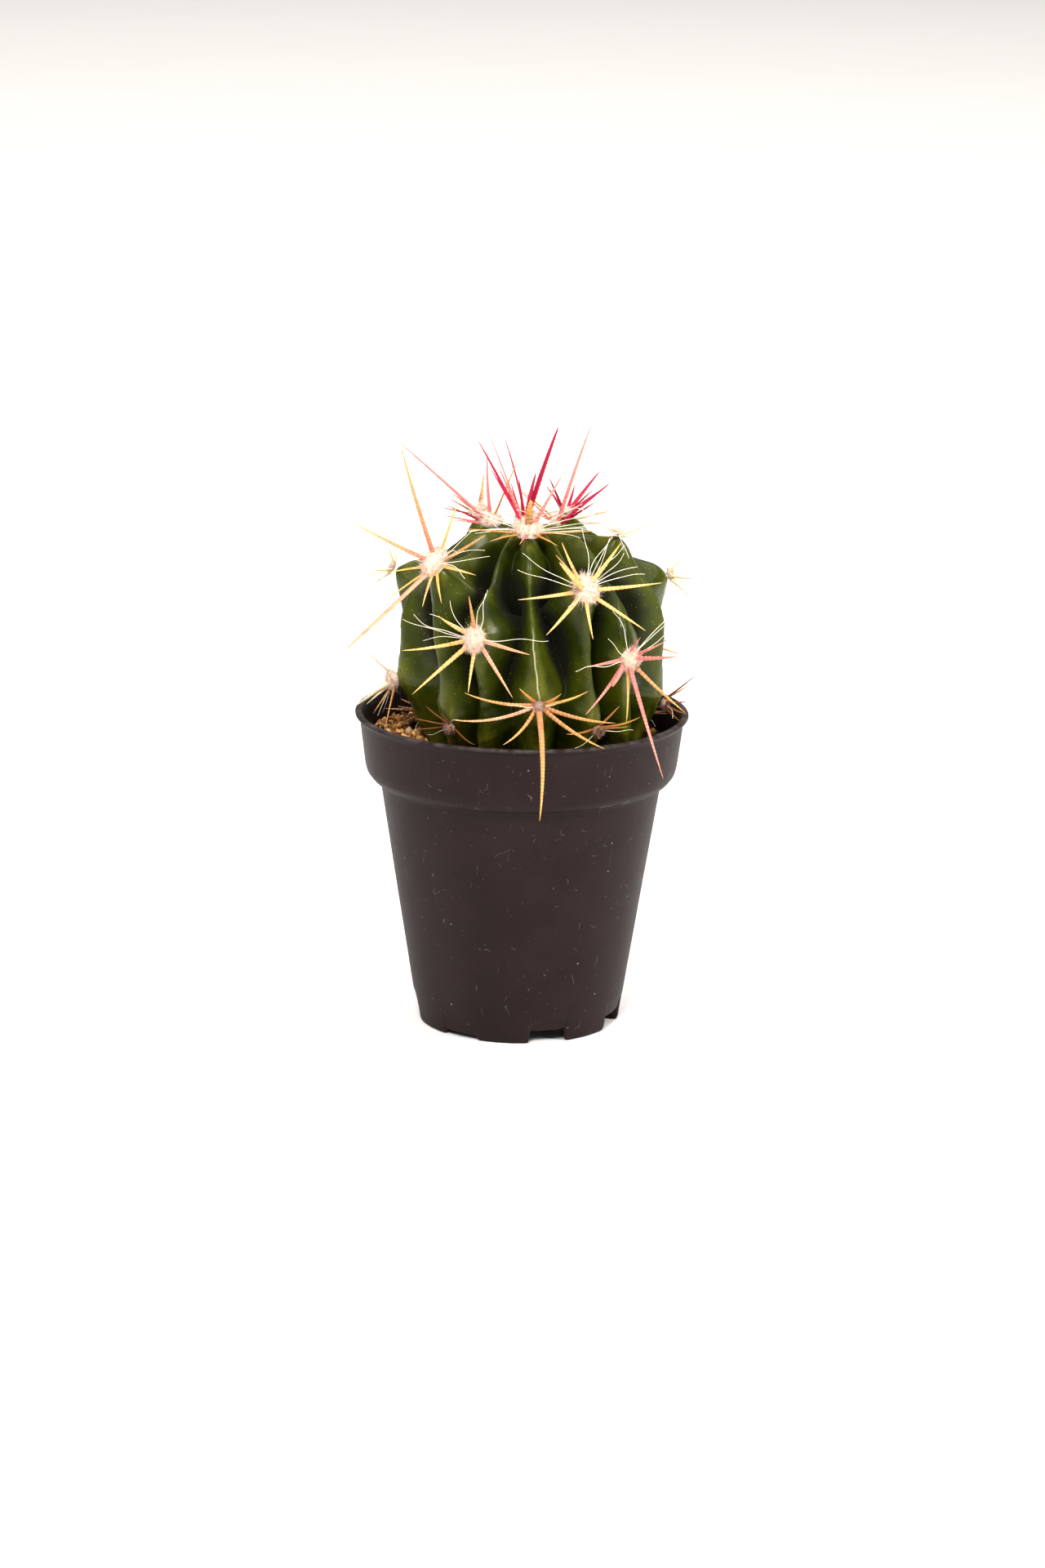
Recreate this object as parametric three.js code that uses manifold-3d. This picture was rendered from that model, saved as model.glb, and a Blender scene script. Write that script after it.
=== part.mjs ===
// A young round cactus in a small nursery pot: stem, spines, wool, potting soil and pot.
// Millimetres, +Z up. The origin is on the standing surface, under the middle of the plant's box.
import * as THREE from "three";
import { ParametricGeometry } from "three/addons/geometries/ParametricGeometry.js";
import { mergeVertices } from "three/addons/utils/BufferGeometryUtils.js";
import Module from "manifold-3d";

const wasm = await Module();
wasm.setup();

const TURN = 2 * Math.PI;
const degrees = THREE.MathUtils.degToRad;
const clamp = THREE.MathUtils.clamp;

// Driving dimensions of the pot
const POT_HEIGHT = 52.3;
const LIP_RADIUS = 27.5;
const WALL = 0.9;
const FLOOR_HEIGHT = 2.6;
const FLOOR_THICKNESS = 0.8;
const POT_SIDES = 56;
const NOTCH_COUNT = 7;
const NOTCH_TURN = degrees(17.5);
const NOTCH_WIDTH = degrees(21);
const NOTCH_HEIGHT = 2.15;
const SHALLOW_NOTCH = 6; // this one was left nearly closed by the mould
const SHALLOW_HEIGHT = 0.8;

// Driving dimensions of the soil and the stem
const GAP = 0.3;
const SOIL_LEVEL = 47;
const SOIL_DIP = 0.5;
const RIBS = 13;
const RIB_STEP = TURN / RIBS;
const RIB_DEPTH = 6.8;
const RIB_POWER = 1.15;
const CREST_ROUNDING = 0.22;
const RIB_SWELL = 0.4;
const FURROW_BLEND = 0.35;
const STEM_OFFSET = 2.3;
const STEM_LEAN = degrees(1.8);
const STEM_COLUMNS = RIBS * 6;
const STEM_ROWS = 26;

// Height of the stem's crests over their distance from the stem's axis, from crown to root
const CREST = [
  [0, 82.6], [4, 83.2], [8, 83.4], [12, 83.0], [16, 81.7], [20, 79.0], [22.9, 75], [23.8, 70.5],
  [23.5, 65.5], [22.9, 61], [21.9, 56.5], [20.2, 52.5], [18.2, 49], [16.8, 46.5], [13.5, 42],
  [8, 37.5], [0, 36],
];

// The areoles follow one spiral: each is 5 ribs back from the one before, numbered from the crown
const FIRST_AREOLE = -5;
const LAST_AREOLE = 20;
const LAST_WOOLLY = 11;
const SPIRAL_STEP = 5;
const SPIRAL_REACH = 62;
const SPIRAL_MIDDLE = 6;
const SPIRAL_SPREAD = 5.6;
const SPIRAL_START = 5.3;
// Where the plant departs from its own spiral: degrees round the stem, and millimetres down it
const SWING = { 0: -3, 2: -15, 3: 4, 5: -6, 6: 10, 8: 6, 10: -16, 13: 2, 15: 8, 16: 16, 18: 2 };
const SLIP = { 0: -1.5, 3: 3, 5: 1.5, 8: 0.5, 11: 4, 15: 2, 18: -2 };

// Spines that can be told apart, by areole: clock angle from the crown's direction, tilt from the
// skin, length, width at the root, and for those that droop, their curl
const SPINES = {
  "-5": [[234, 56, 15.3, 1.2], [116, 78, 8.2, 1], [215, 57, 9.9, 1.2], [237, 64, 16.7, 0.5],
    [204, 74, 7, 0.9], [300, 50, 8, 0.6]],
  "-4": [[252, 68, 15, 1.4], [156, 63, 13, 0.5], [285, 79, 7, 0.9], [10, 45, 8, 0.6]],
  "-3": [[151, 31, 10.6, 1.3], [144, 20, 7, 0.9], [157, 66, 17, 1.2], [345, 40, 8, 0.6]],
  "-2": [[170, 41, 20.5, 1], [354, 66, 11, 0.6], [180, 4, 8, 0.7], [195, 14, 7.6, 0.7],
    [169, 0, 6.5, 0.6], [270, 60, 12, 0.6]],
  "-1": [[180, 32, 10, 1], [150, 20, 8, 0.7], [205, 24, 8, 0.7], [100, 30, 6, 0.7],
    [255, 35, 6, 0.7], [20, 60, 6, 0.8]],
  0: [[166, 62, 5.8, 1.6], [250, 4, 10.5, 0.8], [228, 0, 8, 0.7, 0.14], [190, -3, 6, 0.6, 0.2],
    [140, -2, 8, 0.7, 0.18], [108, 2, 12, 0.8], [300, 52, 11.5, 0.7], [80, 57, 10.5, 1.2]],
  1: [[105, 12, 7, 0.6], [158, 26, 6, 0.6], [190, 22, 9, 0.7], [245, 55, 7, 0.8], [225, 20, 8, 0.6]],
  2: [[185, 35, 8, 0.7], [130, 12, 6, 0.6], [235, 12, 7, 0.6], [80, 16, 6, 0.6], [285, 16, 7, 0.6],
    [10, 30, 6, 0.6]],
  3: [[358, 66, 20, 1.1], [236, 62, 15, 1.0], [182, 10, 23, 1.3], [200, 4, 10, 0.7],
    [215, 24, 7.5, 0.7], [162, -2, 9, 0.8, 0.14], [140, -2, 9.5, 0.7, 0.16],
    [96, -2, 9.5, 0.8, 0.16], [60, 6, 10.5, 1.1], [12, 24, 11, 0.7]],
  4: [[185, 18, 12, 1], [140, 20, 9, 0.8], [100, 18, 9, 0.8], [60, 22, 8, 0.7], [300, 20, 8, 0.7],
    [255, 18, 9, 0.8], [220, 16, 10, 0.8]],
  5: [[286, 50, 11, 1.5], [293, 49, 12, 0.8], [335, 26, 8.5, 0.8], [52, 26, 9, 0.9], [105, 20, 12, 0.9],
    [150, 16, 12, 0.9], [195, 8, 9.5, 0.8], [235, 9, 12.5, 0.9], [268, 9, 13, 0.8]],
  6: [[190, 40, 6, 0.7], [140, 14, 6, 0.6], [225, 14, 6, 0.6], [95, 16, 6, 0.6], [270, 16, 6, 0.6],
    [330, 22, 5, 0.6], [30, 22, 5, 0.6]],
  7: [[180, 40, 4.5, 0.7], [135, 14, 6, 0.6], [220, 14, 6, 0.6], [90, 16, 5, 0.6],
    [265, 16, 5, 0.6], [325, 22, 4, 0.6], [25, 22, 4, 0.6]],
  8: [[222, 26, 13, 0.9], [175, 22, 8.5, 0.8], [135, 12, 11.5, 0.9], [94, 10, 10.5, 0.9],
    [258, 22, 11.5, 0.8], [308, 26, 7, 0.9], [2, 24, 8.5, 0.9]],
  10: [[197, 42, 21, 1.1], [60, 62, 8, 1.1], [48, 34, 6, 0.8], [246, 20, 7, 1.3],
    [239, 9, 13, 0.9], [275, 6, 10.5, 0.8], [200, 18, 10, 0.7], [143, 34, 12, 0.8],
    [355, 26, 5, 0.7]],
  11: [[126, 62, 7.5, 1.1], [170, 40, 6, 0.8], [132, 18, 10, 0.8], [15, 24, 7, 0.7],
    [230, 34, 8, 0.7]],
  13: [[186, 66, 23, 1.1], [93, 25, 13, 0.9], [112, 36, 13, 0.9], [48, 18, 5, 0.7],
    [64, 16, 9, 0.7], [325, 14, 5.5, 0.7], [292, 14, 13, 0.8], [274, 20, 14.5, 0.8],
    [242, 42, 9, 0.8]],
  15: [[300, 30, 4.5, 0.6], [272, 38, 5, 0.6], [245, 40, 4.5, 0.6], [330, 14, 8, 0.6], [20, 24, 5, 0.6]],
  16: [[342, 12, 6, 0.6], [325, 32, 6, 0.6], [300, 40, 5, 0.5], [86, 16, 8, 0.6], [50, 34, 5, 0.5],
    [16, 14, 5, 0.6]],
  18: [[297, 12, 8, 0.7], [64, 16, 7, 0.7], [40, 40, 6, 0.6], [322, 50, 5, 0.6], [350, 34, 5, 0.6],
    [20, 14, 7, 0.6]],
  20: [[300, 24, 4, 0.6], [330, 20, 5, 0.6], [0, 24, 5.5, 0.7], [30, 20, 5, 0.6], [65, 16, 6, 0.6],
    [350, 55, 4, 0.6]],
};

const COLOURS = {
  pot: 0x3b3638, soil: 0x4a3222, grit: 0xb98d55, stem: 0x3f5c22, wool: 0xefe6d2,
  crimson: 0xa3184c, yellow: 0xd9b25c, brown: 0x9a6a3c,
};

const material = (color, roughness) => new THREE.MeshStandardMaterial({ color, roughness });

function toSolid(geometry) {
  const plain = geometry.clone();
  plain.deleteAttribute("normal");
  plain.deleteAttribute("uv");
  const merged = mergeVertices(plain, 1e-4);
  const corners = [];
  for (let t = 0; t < merged.index.count; t += 3) {
    const [a, b, c] = [0, 1, 2].map((k) => merged.index.getX(t + k));
    if (a !== b && b !== c && c !== a) corners.push(a, b, c);
  }
  const vertProperties = new Float32Array(merged.attributes.position.array);
  const solid = new wasm.Manifold(new wasm.Mesh({
    numProp: 3, vertProperties, triVerts: new Uint32Array(corners),
  }));
  return solid;
}

function toGeometry(solid) {
  const mesh = solid.getMesh();
  const geometry = new THREE.BufferGeometry();
  geometry.setAttribute("position", new THREE.Float32BufferAttribute(mesh.vertProperties, 3));
  geometry.setIndex([...mesh.triVerts]);
  geometry.computeVertexNormals();
  return geometry;
}

function named(name, geometry, look) {
  const mesh = new THREE.Mesh(geometry, look);
  mesh.name = name;
  return mesh;
}

// A turned shape about +Z from [radius, height] points, listed anticlockwise
function turned(points, sides) {
  const profile = points.map(([r, z]) => new THREE.Vector2(r, z));
  return new THREE.LatheGeometry(profile, sides).rotateX(Math.PI / 2);
}

function nurseryPot() {
  const outside = [
    [16.8, 0], [17.6, 5], [23, 39], [23.4, 40.4], [24.7, 41.3], [25.5, 42.4], [25.8, 43.6],
    [26.7, 50.6], [LIP_RADIUS, 51.5], [LIP_RADIUS, POT_HEIGHT - 0.2], [27.2, POT_HEIGHT],
  ];
  const inside = [
    [26.5, POT_HEIGHT], [25.9, 51], [25.8 - WALL, 43.9], [24, 42.3], [22.5, 41],
    [23 - WALL, 39], [17.7 - WALL, 5], [16.3, FLOOR_HEIGHT + FLOOR_THICKNESS],
  ];
  const body = toSolid(turned([
    [0, FLOOR_HEIGHT], [15.9, FLOOR_HEIGHT], [15.7, 0],
    ...outside, ...inside, [0, FLOOR_HEIGHT + FLOOR_THICKNESS],
  ], POT_SIDES));
  let pot = body;
  for (let k = 0; k < NOTCH_COUNT; k += 1) {
    const height = k === SHALLOW_NOTCH ? SHALLOW_HEIGHT : NOTCH_HEIGHT;
    pot = pot.subtract(drainNotch(NOTCH_TURN + (k * TURN) / NOTCH_COUNT, height));
  }
  return named("nursery_pot", toGeometry(pot), material(COLOURS.pot, 0.5));
}

// A block through the skirt under the floor, centred on one azimuth from the front (-Y)
function drainNotch(azimuth, height) {
  const middle = 16.5;
  const width = 2 * middle * Math.sin(NOTCH_WIDTH / 2);
  const block = new THREE.BoxGeometry(width, 6, 2 * height);
  block.translate(0, -middle, 0);
  block.rotateZ(azimuth);
  return toSolid(block);
}

function pottingSoil() {
  const rim = 25.3 - GAP;
  const plug = toSolid(turned([
    [0, FLOOR_HEIGHT + FLOOR_THICKNESS + GAP], [15.9, FLOOR_HEIGHT + FLOOR_THICKNESS + GAP],
    [16.7 - GAP, 5.2], [22.1 - GAP, 39], [22.2 - GAP, 40.9], [24.6 - GAP, 43.6],
    [rim, SOIL_LEVEL], [21, SOIL_LEVEL - SOIL_DIP], [0, SOIL_LEVEL],
  ], POT_SIDES));
  const hollow = turned([[0, 35.2], [8.4, 36.6], [14.4, 41.6], [18.3, 46], [19.6, 50], [0, 50]], 36);
  hollow.translate(0, 0, -SOIL_LEVEL).rotateY(-STEM_LEAN).translate(STEM_OFFSET, 0, SOIL_LEVEL);
  return named("potting_soil", toGeometry(plug.subtract(toSolid(hollow))), material(COLOURS.soil, 1));
}

// Smooth line through the crest points, as evenly spaced samples by arc length
const crestLine = (() => {
  const mirrored = [-CREST[1][0], CREST[1][1]];
  const points = [mirrored, ...CREST].map(([r, z]) => new THREE.Vector2(r, z));
  const spline = new THREE.SplineCurve(points);
  const samples = [];
  let arc = 0;
  for (let j = 0; j <= 1600; j += 1) {
    const t = (1 + (j / 1600) * (CREST.length - 1)) / CREST.length;
    const point = spline.getPoint(t);
    if (j > 0) arc += point.distanceTo(samples[j - 1].point);
    samples.push({ arc, point });
  }
  return samples;
})();
const STEM_ARC = crestLine[crestLine.length - 1].arc;

function crestAt(arc) {
  const wanted = clamp(arc, 0, STEM_ARC);
  let low = 0;
  let high = crestLine.length - 1;
  while (high - low > 1) {
    const middle = (low + high) >> 1;
    if (crestLine[middle].arc > wanted) high = middle;
    else low = middle;
  }
  const [a, b] = [crestLine[low], crestLine[high]];
  return a.point.clone().lerp(b.point, (wanted - a.arc) / (b.arc - a.arc));
}

// The spiral: arc length from the crown at which areole i sits, and its inverse
const slip = (i) => SLIP[i] ?? 0;
const arcOf = (i) => SPIRAL_REACH / (1 + Math.exp(-(i - SPIRAL_MIDDLE) / SPIRAL_SPREAD)) - SPIRAL_START;
function ageAt(arc) {
  const q = clamp((arc + SPIRAL_START) / SPIRAL_REACH, 0.02, 0.975);
  return SPIRAL_MIDDLE + SPIRAL_SPREAD * Math.log(q / (1 - q));
}
const wrap = (rib) => ((rib % RIBS) + RIBS) % RIBS;
const ribOf = (i) => wrap(-SPIRAL_STEP * i);

// How far, in degrees, a rib swings aside near an areole that departs from the spiral
function swing(rib, age) {
  let total = 0;
  for (const [areole, turn] of Object.entries(SWING)) {
    if (ribOf(Number(areole)) === wrap(rib)) {
      total += turn * clamp(1 - Math.abs(age - Number(areole)) / RIBS, 0, 1);
    }
  }
  return total;
}

// 1 at each areole of a rib, falling away within the given reaches; sharpness 2 gives a bell,
// and less gives a peak
function bumps(rib, arc, reachUp, reachDown, sharpness) {
  let total = 0;
  for (let lap = -1; lap <= 2; lap += 1) {
    const areole = wrap(SPIRAL_STEP * rib) + RIBS * lap;
    const centre = arcOf(areole) + slip(areole);
    if (centre > 0) {
      const reach = arc < centre ? reachUp : reachDown;
      total += Math.exp(-((Math.abs(arc - centre) / reach) ** sharpness));
    }
  }
  return Math.min(total, 1);
}

// Skin point at a place round the stem, in ribs from the front, and an arc length from the crown.
// Each rib is a ridge that swells and rises at its areoles; the ridges meet in sharp furrows.
function skin(place, arc) {
  const crest = crestAt(arc);
  const along = crestAt(arc + 0.05).sub(crestAt(arc - 0.05)).normalize();
  const low = clamp((STEM_ARC - 2 - arc) / 14, 0, 1);
  const fade = clamp(crest.x / 15, 0, 1) ** 0.9 * low;
  const sink = (4.6 - 2.6 * clamp((arc - 20) / 14, 0, 1)) * clamp((arc - 3) / 16, 0, 1) * low;
  const first = Math.floor(place);
  let sum = 0;
  for (let rib = first - 1; rib <= first + 2; rib += 1) {
    const width = 1 + RIB_SWELL * (2 * bumps(rib, arc - 1, 8.5, 7.5, 2) - 1);
    const side = (Math.hypot(((place - rib) * 2) / width, CREST_ROUNDING) - CREST_ROUNDING)
      / (Math.hypot(1, CREST_ROUNDING) - CREST_ROUNDING);
    const rise = bumps(rib, arc, 5, 5.6, 1.5);
    const height = -sink * (1 - rise) - RIB_DEPTH * fade * side ** RIB_POWER;
    sum += Math.exp(height / FURROW_BLEND);
  }
  const height = FURROW_BLEND * Math.log(sum) * clamp(crest.x / 2, 0, 1);
  const age = ageAt(arc);
  const share = place - first;
  const aside = swing(first, age) * (1 - share) + swing(first + 1, age) * share;
  const azimuth = place * RIB_STEP + degrees(aside);
  const radius = crest.x - height * along.y;
  const point = new THREE.Vector3(
    radius * Math.sin(azimuth), -radius * Math.cos(azimuth), crest.y + height * along.x - SOIL_LEVEL,
  );
  point.applyAxisAngle(new THREE.Vector3(0, 1, 0), -STEM_LEAN);
  return point.add(new THREE.Vector3(STEM_OFFSET, 0, SOIL_LEVEL));
}

function cactusStem() {
  const surface = new ParametricGeometry(
    (u, v, target) => target.copy(skin((1 - u) * RIBS, v * STEM_ARC)), STEM_COLUMNS, STEM_ROWS,
  );
  return named("cactus_stem", toGeometry(toSolid(surface)), material(COLOURS.stem, 0.35));
}

// A frame on the skin at areole i: x to the right, y towards the crown, z straight out
function areoleFrame(i) {
  const rib = ribOf(i);
  const arc = arcOf(i) + slip(i);
  const origin = skin(rib, arc);
  const up = skin(rib, arc - 0.6).sub(skin(rib, arc + 0.6)).normalize();
  const right = skin(rib + 0.06, arc).sub(skin(rib - 0.06, arc));
  right.addScaledVector(up, -right.dot(up)).normalize();
  const out = new THREE.Vector3().crossVectors(right, up);
  return new THREE.Matrix4().makeBasis(right, up, out).setPosition(origin);
}

// Spines of an areole that has no row of its own: seven round the rim and one standing out.
// The lowest areoles turn theirs up, clear of the soil.
function typicalSpines(i) {
  const low = i > 13;
  const reach = i < 4 ? 9 : i < 11 ? 11 : low ? 5 : 8;
  const rows = [];
  for (let k = 0; k < 7; k += 1) {
    const clock = (low ? 285 + 25 * k : 25 + 51 * k) + 8 * Math.sin(7 * i + 3 * k);
    const lower = low ? 0.5 : 0.5 - 0.5 * Math.cos(degrees(clock));
    rows.push([clock, 20 + 7 * Math.sin(5 * i + 2 * k), reach * (0.65 + 0.35 * lower), 0.8]);
  }
  const standing = low ? [5, 52] : [180 + 14 * Math.sin(i), i > 10 ? 78 : 66];
  rows.push([...standing, reach * (low ? 1.2 : 1.85), low ? 0.9 : 1.3]);
  return rows;
}

const SPINE_LIFT = 1.5;
const SPINE_FLATNESS = 0.6;
const SPINE_CURL = 0.02;

// One tapering spine in the areole's frame, bending back a little towards the skin
function spine([clock, tilt, length, width, curl = SPINE_CURL]) {
  const [c, t] = [degrees(clock), degrees(tilt)];
  const along = new THREE.Vector3(Math.cos(t) * Math.sin(c), Math.cos(t) * Math.cos(c), Math.sin(t));
  const sideways = new THREE.Vector3(Math.cos(c), -Math.sin(c), 0);
  const across = new THREE.Vector3().crossVectors(sideways, along);
  const geometry = new THREE.ConeGeometry(width / 2, 1, 4, 2);
  const place = geometry.attributes.position;
  for (let j = 0; j < place.count; j += 1) {
    const share = place.getY(j) + 0.5;
    const point = new THREE.Vector3(0, 0, SPINE_LIFT)
      .addScaledVector(along, length * share)
      .addScaledVector(across, -length * curl * share * share)
      .addScaledVector(sideways, place.getX(j))
      .addScaledVector(across, place.getZ(j) * SPINE_FLATNESS);
    place.setXYZ(j, point.x, point.y, point.z);
  }
  return toSolid(geometry);
}

function spineCluster(i, number) {
  const core = new THREE.IcosahedronGeometry(1.25, 0).translate(0, 0, SPINE_LIFT + 0.05);
  const rows = SPINES[i] ?? typicalSpines(i);
  const cluster = rows.map(spine).reduce((whole, piece) => whole.add(piece), toSolid(core));
  const geometry = toGeometry(cluster).applyMatrix4(areoleFrame(i));
  const colour = i < 1 ? COLOURS.crimson : i > 14 ? COLOURS.brown : COLOURS.yellow;
  return named(`spines_${number}`, geometry, material(colour, 0.5));
}

function woolRing(i, number) {
  const ring = turned([[1.7, 0.45], [2.1, 0.45], [2.35, 0.7], [2.1, 0.95], [1.7, 0.95], [1.7, 0.45]], 10);
  return named(`wool_${number}`, ring.applyMatrix4(areoleFrame(i)), material(COLOURS.wool, 1));
}

// Loose lumps of grit on the soil: azimuth from the front, distance from the pot's axis, size
const GRIT = [
  [-62, 24.2, 1.1], [-50, 22.8, 1.4], [-38, 24, 1.0], [-74, 22.6, 1.2], [-24, 24.1, 1.0],
  [8, 24, 0.9], [150, 23.6, 1.2], [215, 23.8, 1.1],
];

function gritLump([azimuth, distance, size], k) {
  const lump = new THREE.IcosahedronGeometry(size, 1).scale(1, 0.8, 0.7).rotateZ(k);
  const a = degrees(azimuth);
  lump.translate(distance * Math.sin(a), -distance * Math.cos(a), SOIL_LEVEL + 0.7 * size + GAP);
  return named(`grit_${k + 1}`, lump, material(COLOURS.grit, 0.9));
}

const group = new THREE.Group();
group.add(nurseryPot(), pottingSoil(), cactusStem());
for (let i = FIRST_AREOLE; i <= LAST_AREOLE; i += 1) {
  const number = String(i - FIRST_AREOLE + 1).padStart(2, "0");
  group.add(spineCluster(i, number));
  if (i <= LAST_WOOLLY) group.add(woolRing(i, number));
}
GRIT.forEach((lump, k) => group.add(gritLump(lump, k)));

export default group;
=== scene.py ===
# %% [markdown]
# # A young round cactus in its nursery pot
#
# The plant is a barrel cactus of some 5 cm across. Its stem is one body with 13 deep ribs. On each
# rib sit areoles, small cushions of wool from which the spines grow. The areoles follow one spiral
# from the crown down, and that spiral rules where nearly everything in this file goes.
#
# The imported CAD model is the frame. It is loaded first, and each piece made here takes the place of
# one of its plain solids, in the same spot and at the same size.

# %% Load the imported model
import math

import bpy
import numpy as np
from mathutils import Matrix, Vector


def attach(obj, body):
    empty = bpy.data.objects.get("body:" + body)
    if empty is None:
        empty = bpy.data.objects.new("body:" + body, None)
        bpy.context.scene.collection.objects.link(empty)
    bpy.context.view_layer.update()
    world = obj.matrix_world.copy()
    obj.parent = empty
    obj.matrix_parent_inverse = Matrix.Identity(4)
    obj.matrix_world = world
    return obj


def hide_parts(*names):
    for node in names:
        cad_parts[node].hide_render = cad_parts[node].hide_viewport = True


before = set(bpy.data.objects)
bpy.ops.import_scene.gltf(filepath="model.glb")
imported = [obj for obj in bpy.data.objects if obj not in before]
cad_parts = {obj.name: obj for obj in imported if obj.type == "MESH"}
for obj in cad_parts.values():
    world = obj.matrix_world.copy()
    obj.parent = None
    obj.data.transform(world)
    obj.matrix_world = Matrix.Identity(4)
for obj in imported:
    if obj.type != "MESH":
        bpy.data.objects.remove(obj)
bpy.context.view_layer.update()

MM = 0.001
TURN = 2 * math.pi
print("nodes in the frame:", len(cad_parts))

# %% [markdown]
# ## Meshes from arrays
#
# Blender can take a whole mesh from numpy arrays, which is far quicker than adding points one at a
# time. Two kinds of surface are enough for this plant: a grid that is wrapped round an axis and
# closed at both poles, as for a turned pot, and bundles of tapering tubes, as for spines and hairs.

# %% Mesh helpers
def add_piece(name, points, quads, triangles):
    """A smooth mesh object from points (n, 3) in millimetres and faces as rows of point numbers."""
    quads = np.asarray(quads, np.int32).reshape(-1, 4)
    triangles = np.asarray(triangles, np.int32).reshape(-1, 3)
    mesh = bpy.data.meshes.new(name)
    mesh.vertices.add(len(points))
    mesh.vertices.foreach_set("co", (points * MM).astype(np.float32).ravel())
    corners = np.concatenate([quads.ravel(), triangles.ravel()])
    mesh.loops.add(len(corners))
    mesh.loops.foreach_set("vertex_index", corners)
    starts = np.concatenate([4 * np.arange(len(quads)), quads.size + 3 * np.arange(len(triangles))])
    mesh.polygons.add(len(starts))
    mesh.polygons.foreach_set("loop_start", starts.astype(np.int32))
    mesh.update(calc_edges=True)
    mesh.shade_smooth()
    piece = bpy.data.objects.new(name, mesh)
    bpy.context.collection.objects.link(piece)
    return piece


def wrapped_faces(rows, columns):
    """Faces of a grid whose rows run down (or up a hollow) and whose columns run anticlockwise seen
    from above, with a pole point before the first row and one after the last."""
    grid = 1 + np.arange(rows * columns).reshape(rows, columns)
    after = np.roll(grid, -1, axis=1)
    quads = np.stack([grid[1:], after[1:], after[:-1], grid[:-1]], -1).reshape(-1, 4)
    last = 1 + rows * columns
    top = np.stack([np.zeros(columns, int), grid[0], after[0]], -1)
    bottom = np.stack([np.full(columns, last), after[-1], grid[-1]], -1)
    return quads, np.vstack([top, bottom])


def unit(vectors):
    """The same directions at length 1."""
    return vectors / np.maximum(np.linalg.norm(vectors, axis=-1, keepdims=True), 1e-9)


def tubes(paths, side, half_width, half_depth, corners):
    """Many tubes at once. A tube's point is its centre line's point, plus half its width times the
    cosine of an angle across, plus half its depth times the sine of it along the third direction.
    paths is (tubes, steps, 3), side is (tubes, 3), and the halves are (tubes, steps). Each end is
    closed on one point. Returns points, quads, triangles, and each point's tube and share along."""
    count, steps = paths.shape[:2]
    along = unit(np.gradient(paths, axis=1))
    across = side[:, None] - along * np.sum(along * side[:, None], -1, keepdims=True)
    across = unit(across)
    rise = np.cross(along, across)
    angle = TURN * np.arange(corners) / corners
    ring = (paths[:, :, None]
            + (half_width[..., None] * np.cos(angle))[..., None] * across[:, :, None]
            + (half_depth[..., None] * np.sin(angle))[..., None] * rise[:, :, None])
    per_tube = steps * corners + 2
    points = np.concatenate([paths[:, :1], ring.reshape(count, -1, 3), paths[:, -1:]], axis=1)
    grid = 1 + np.arange(steps * corners).reshape(steps, corners)
    after = np.roll(grid, -1, axis=1)
    quads = np.stack([grid[:-1], after[:-1], after[1:], grid[1:]], -1).reshape(-1, 4)
    root = np.stack([np.zeros(corners, int), after[0], grid[0]], -1)
    tip = np.stack([grid[-1], after[-1], np.full(corners, per_tube - 1)], -1)
    shift = (per_tube * np.arange(count))[:, None, None]
    share = np.concatenate([[0], np.repeat(np.linspace(0, 1, steps), corners), [1]])
    return (points.reshape(-1, 3), (quads + shift).reshape(-1, 4),
            (np.vstack([root, tip]) + shift).reshape(-1, 3),
            np.repeat(np.arange(count), per_tube), np.tile(share, count))


def store_number(piece, name, values):
    """Keeps one number per point on the mesh, for its material to read."""
    layer = piece.data.attributes.new(name, "FLOAT", "POINT")
    layer.data.foreach_set("value", np.asarray(values, np.float32).ravel())


def store_colour(piece, name, colours):
    """Keeps one colour per point on the mesh, for its material to read."""
    layer = piece.data.attributes.new(name, "FLOAT_COLOR", "POINT")
    rgba = np.concatenate([colours, np.ones((len(colours), 1))], axis=1)
    layer.data.foreach_set("color", rgba.astype(np.float32).ravel())


def ripples(points, size, seed):
    """Soft lumps from -1 to 1: the mean of twelve sine waves in random directions, whose waves are
    about `size` millimetres long."""
    random = np.random.default_rng(seed)
    directions = unit(random.normal(size=(12, 3))) * random.uniform(0.6, 1.5, (12, 1)) * TURN / size
    phases = random.uniform(0, TURN, 12)
    return np.sin(points @ directions.T + phases).mean(-1) * 2


# %% [markdown]
# ## Shader maths as plain expressions
#
# A finish is easier to read as a formula than as a web of nodes. An Amount wraps the output of a
# node, so that `1 - mask * 0.5` adds the Math nodes by itself. Everything else comes from one
# method, which takes a node's type, its settings and what goes into its sockets.

# %% Shader helpers
class Amount:
    """Something that varies over a surface: a node's output, with the usual arithmetic."""

    def __init__(self, web, socket):
        self.web, self.socket = web, socket

    def math(self, operation, first, second=0.0):
        return self.web.node("ShaderNodeMath", {"operation": operation}, {0: first, 1: second})

    def __add__(self, other):
        return self.math("ADD", self, other)

    def __sub__(self, other):
        return self.math("SUBTRACT", self, other)

    def __rsub__(self, other):
        return self.math("SUBTRACT", other, self)

    def __mul__(self, other):
        return self.math("MULTIPLY", self, other)

    def __abs__(self):
        return self.math("ABSOLUTE", self)

    __radd__ = __add__
    __rmul__ = __mul__

    def between(self, low, high):
        """0 up to low, 1 from high on, and a smooth step in between."""
        return self.web.node(
            "ShaderNodeMapRange", {"interpolation_type": "SMOOTHSTEP"},
            {"Value": self, "From Min": low, "From Max": high}, "Result")


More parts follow.
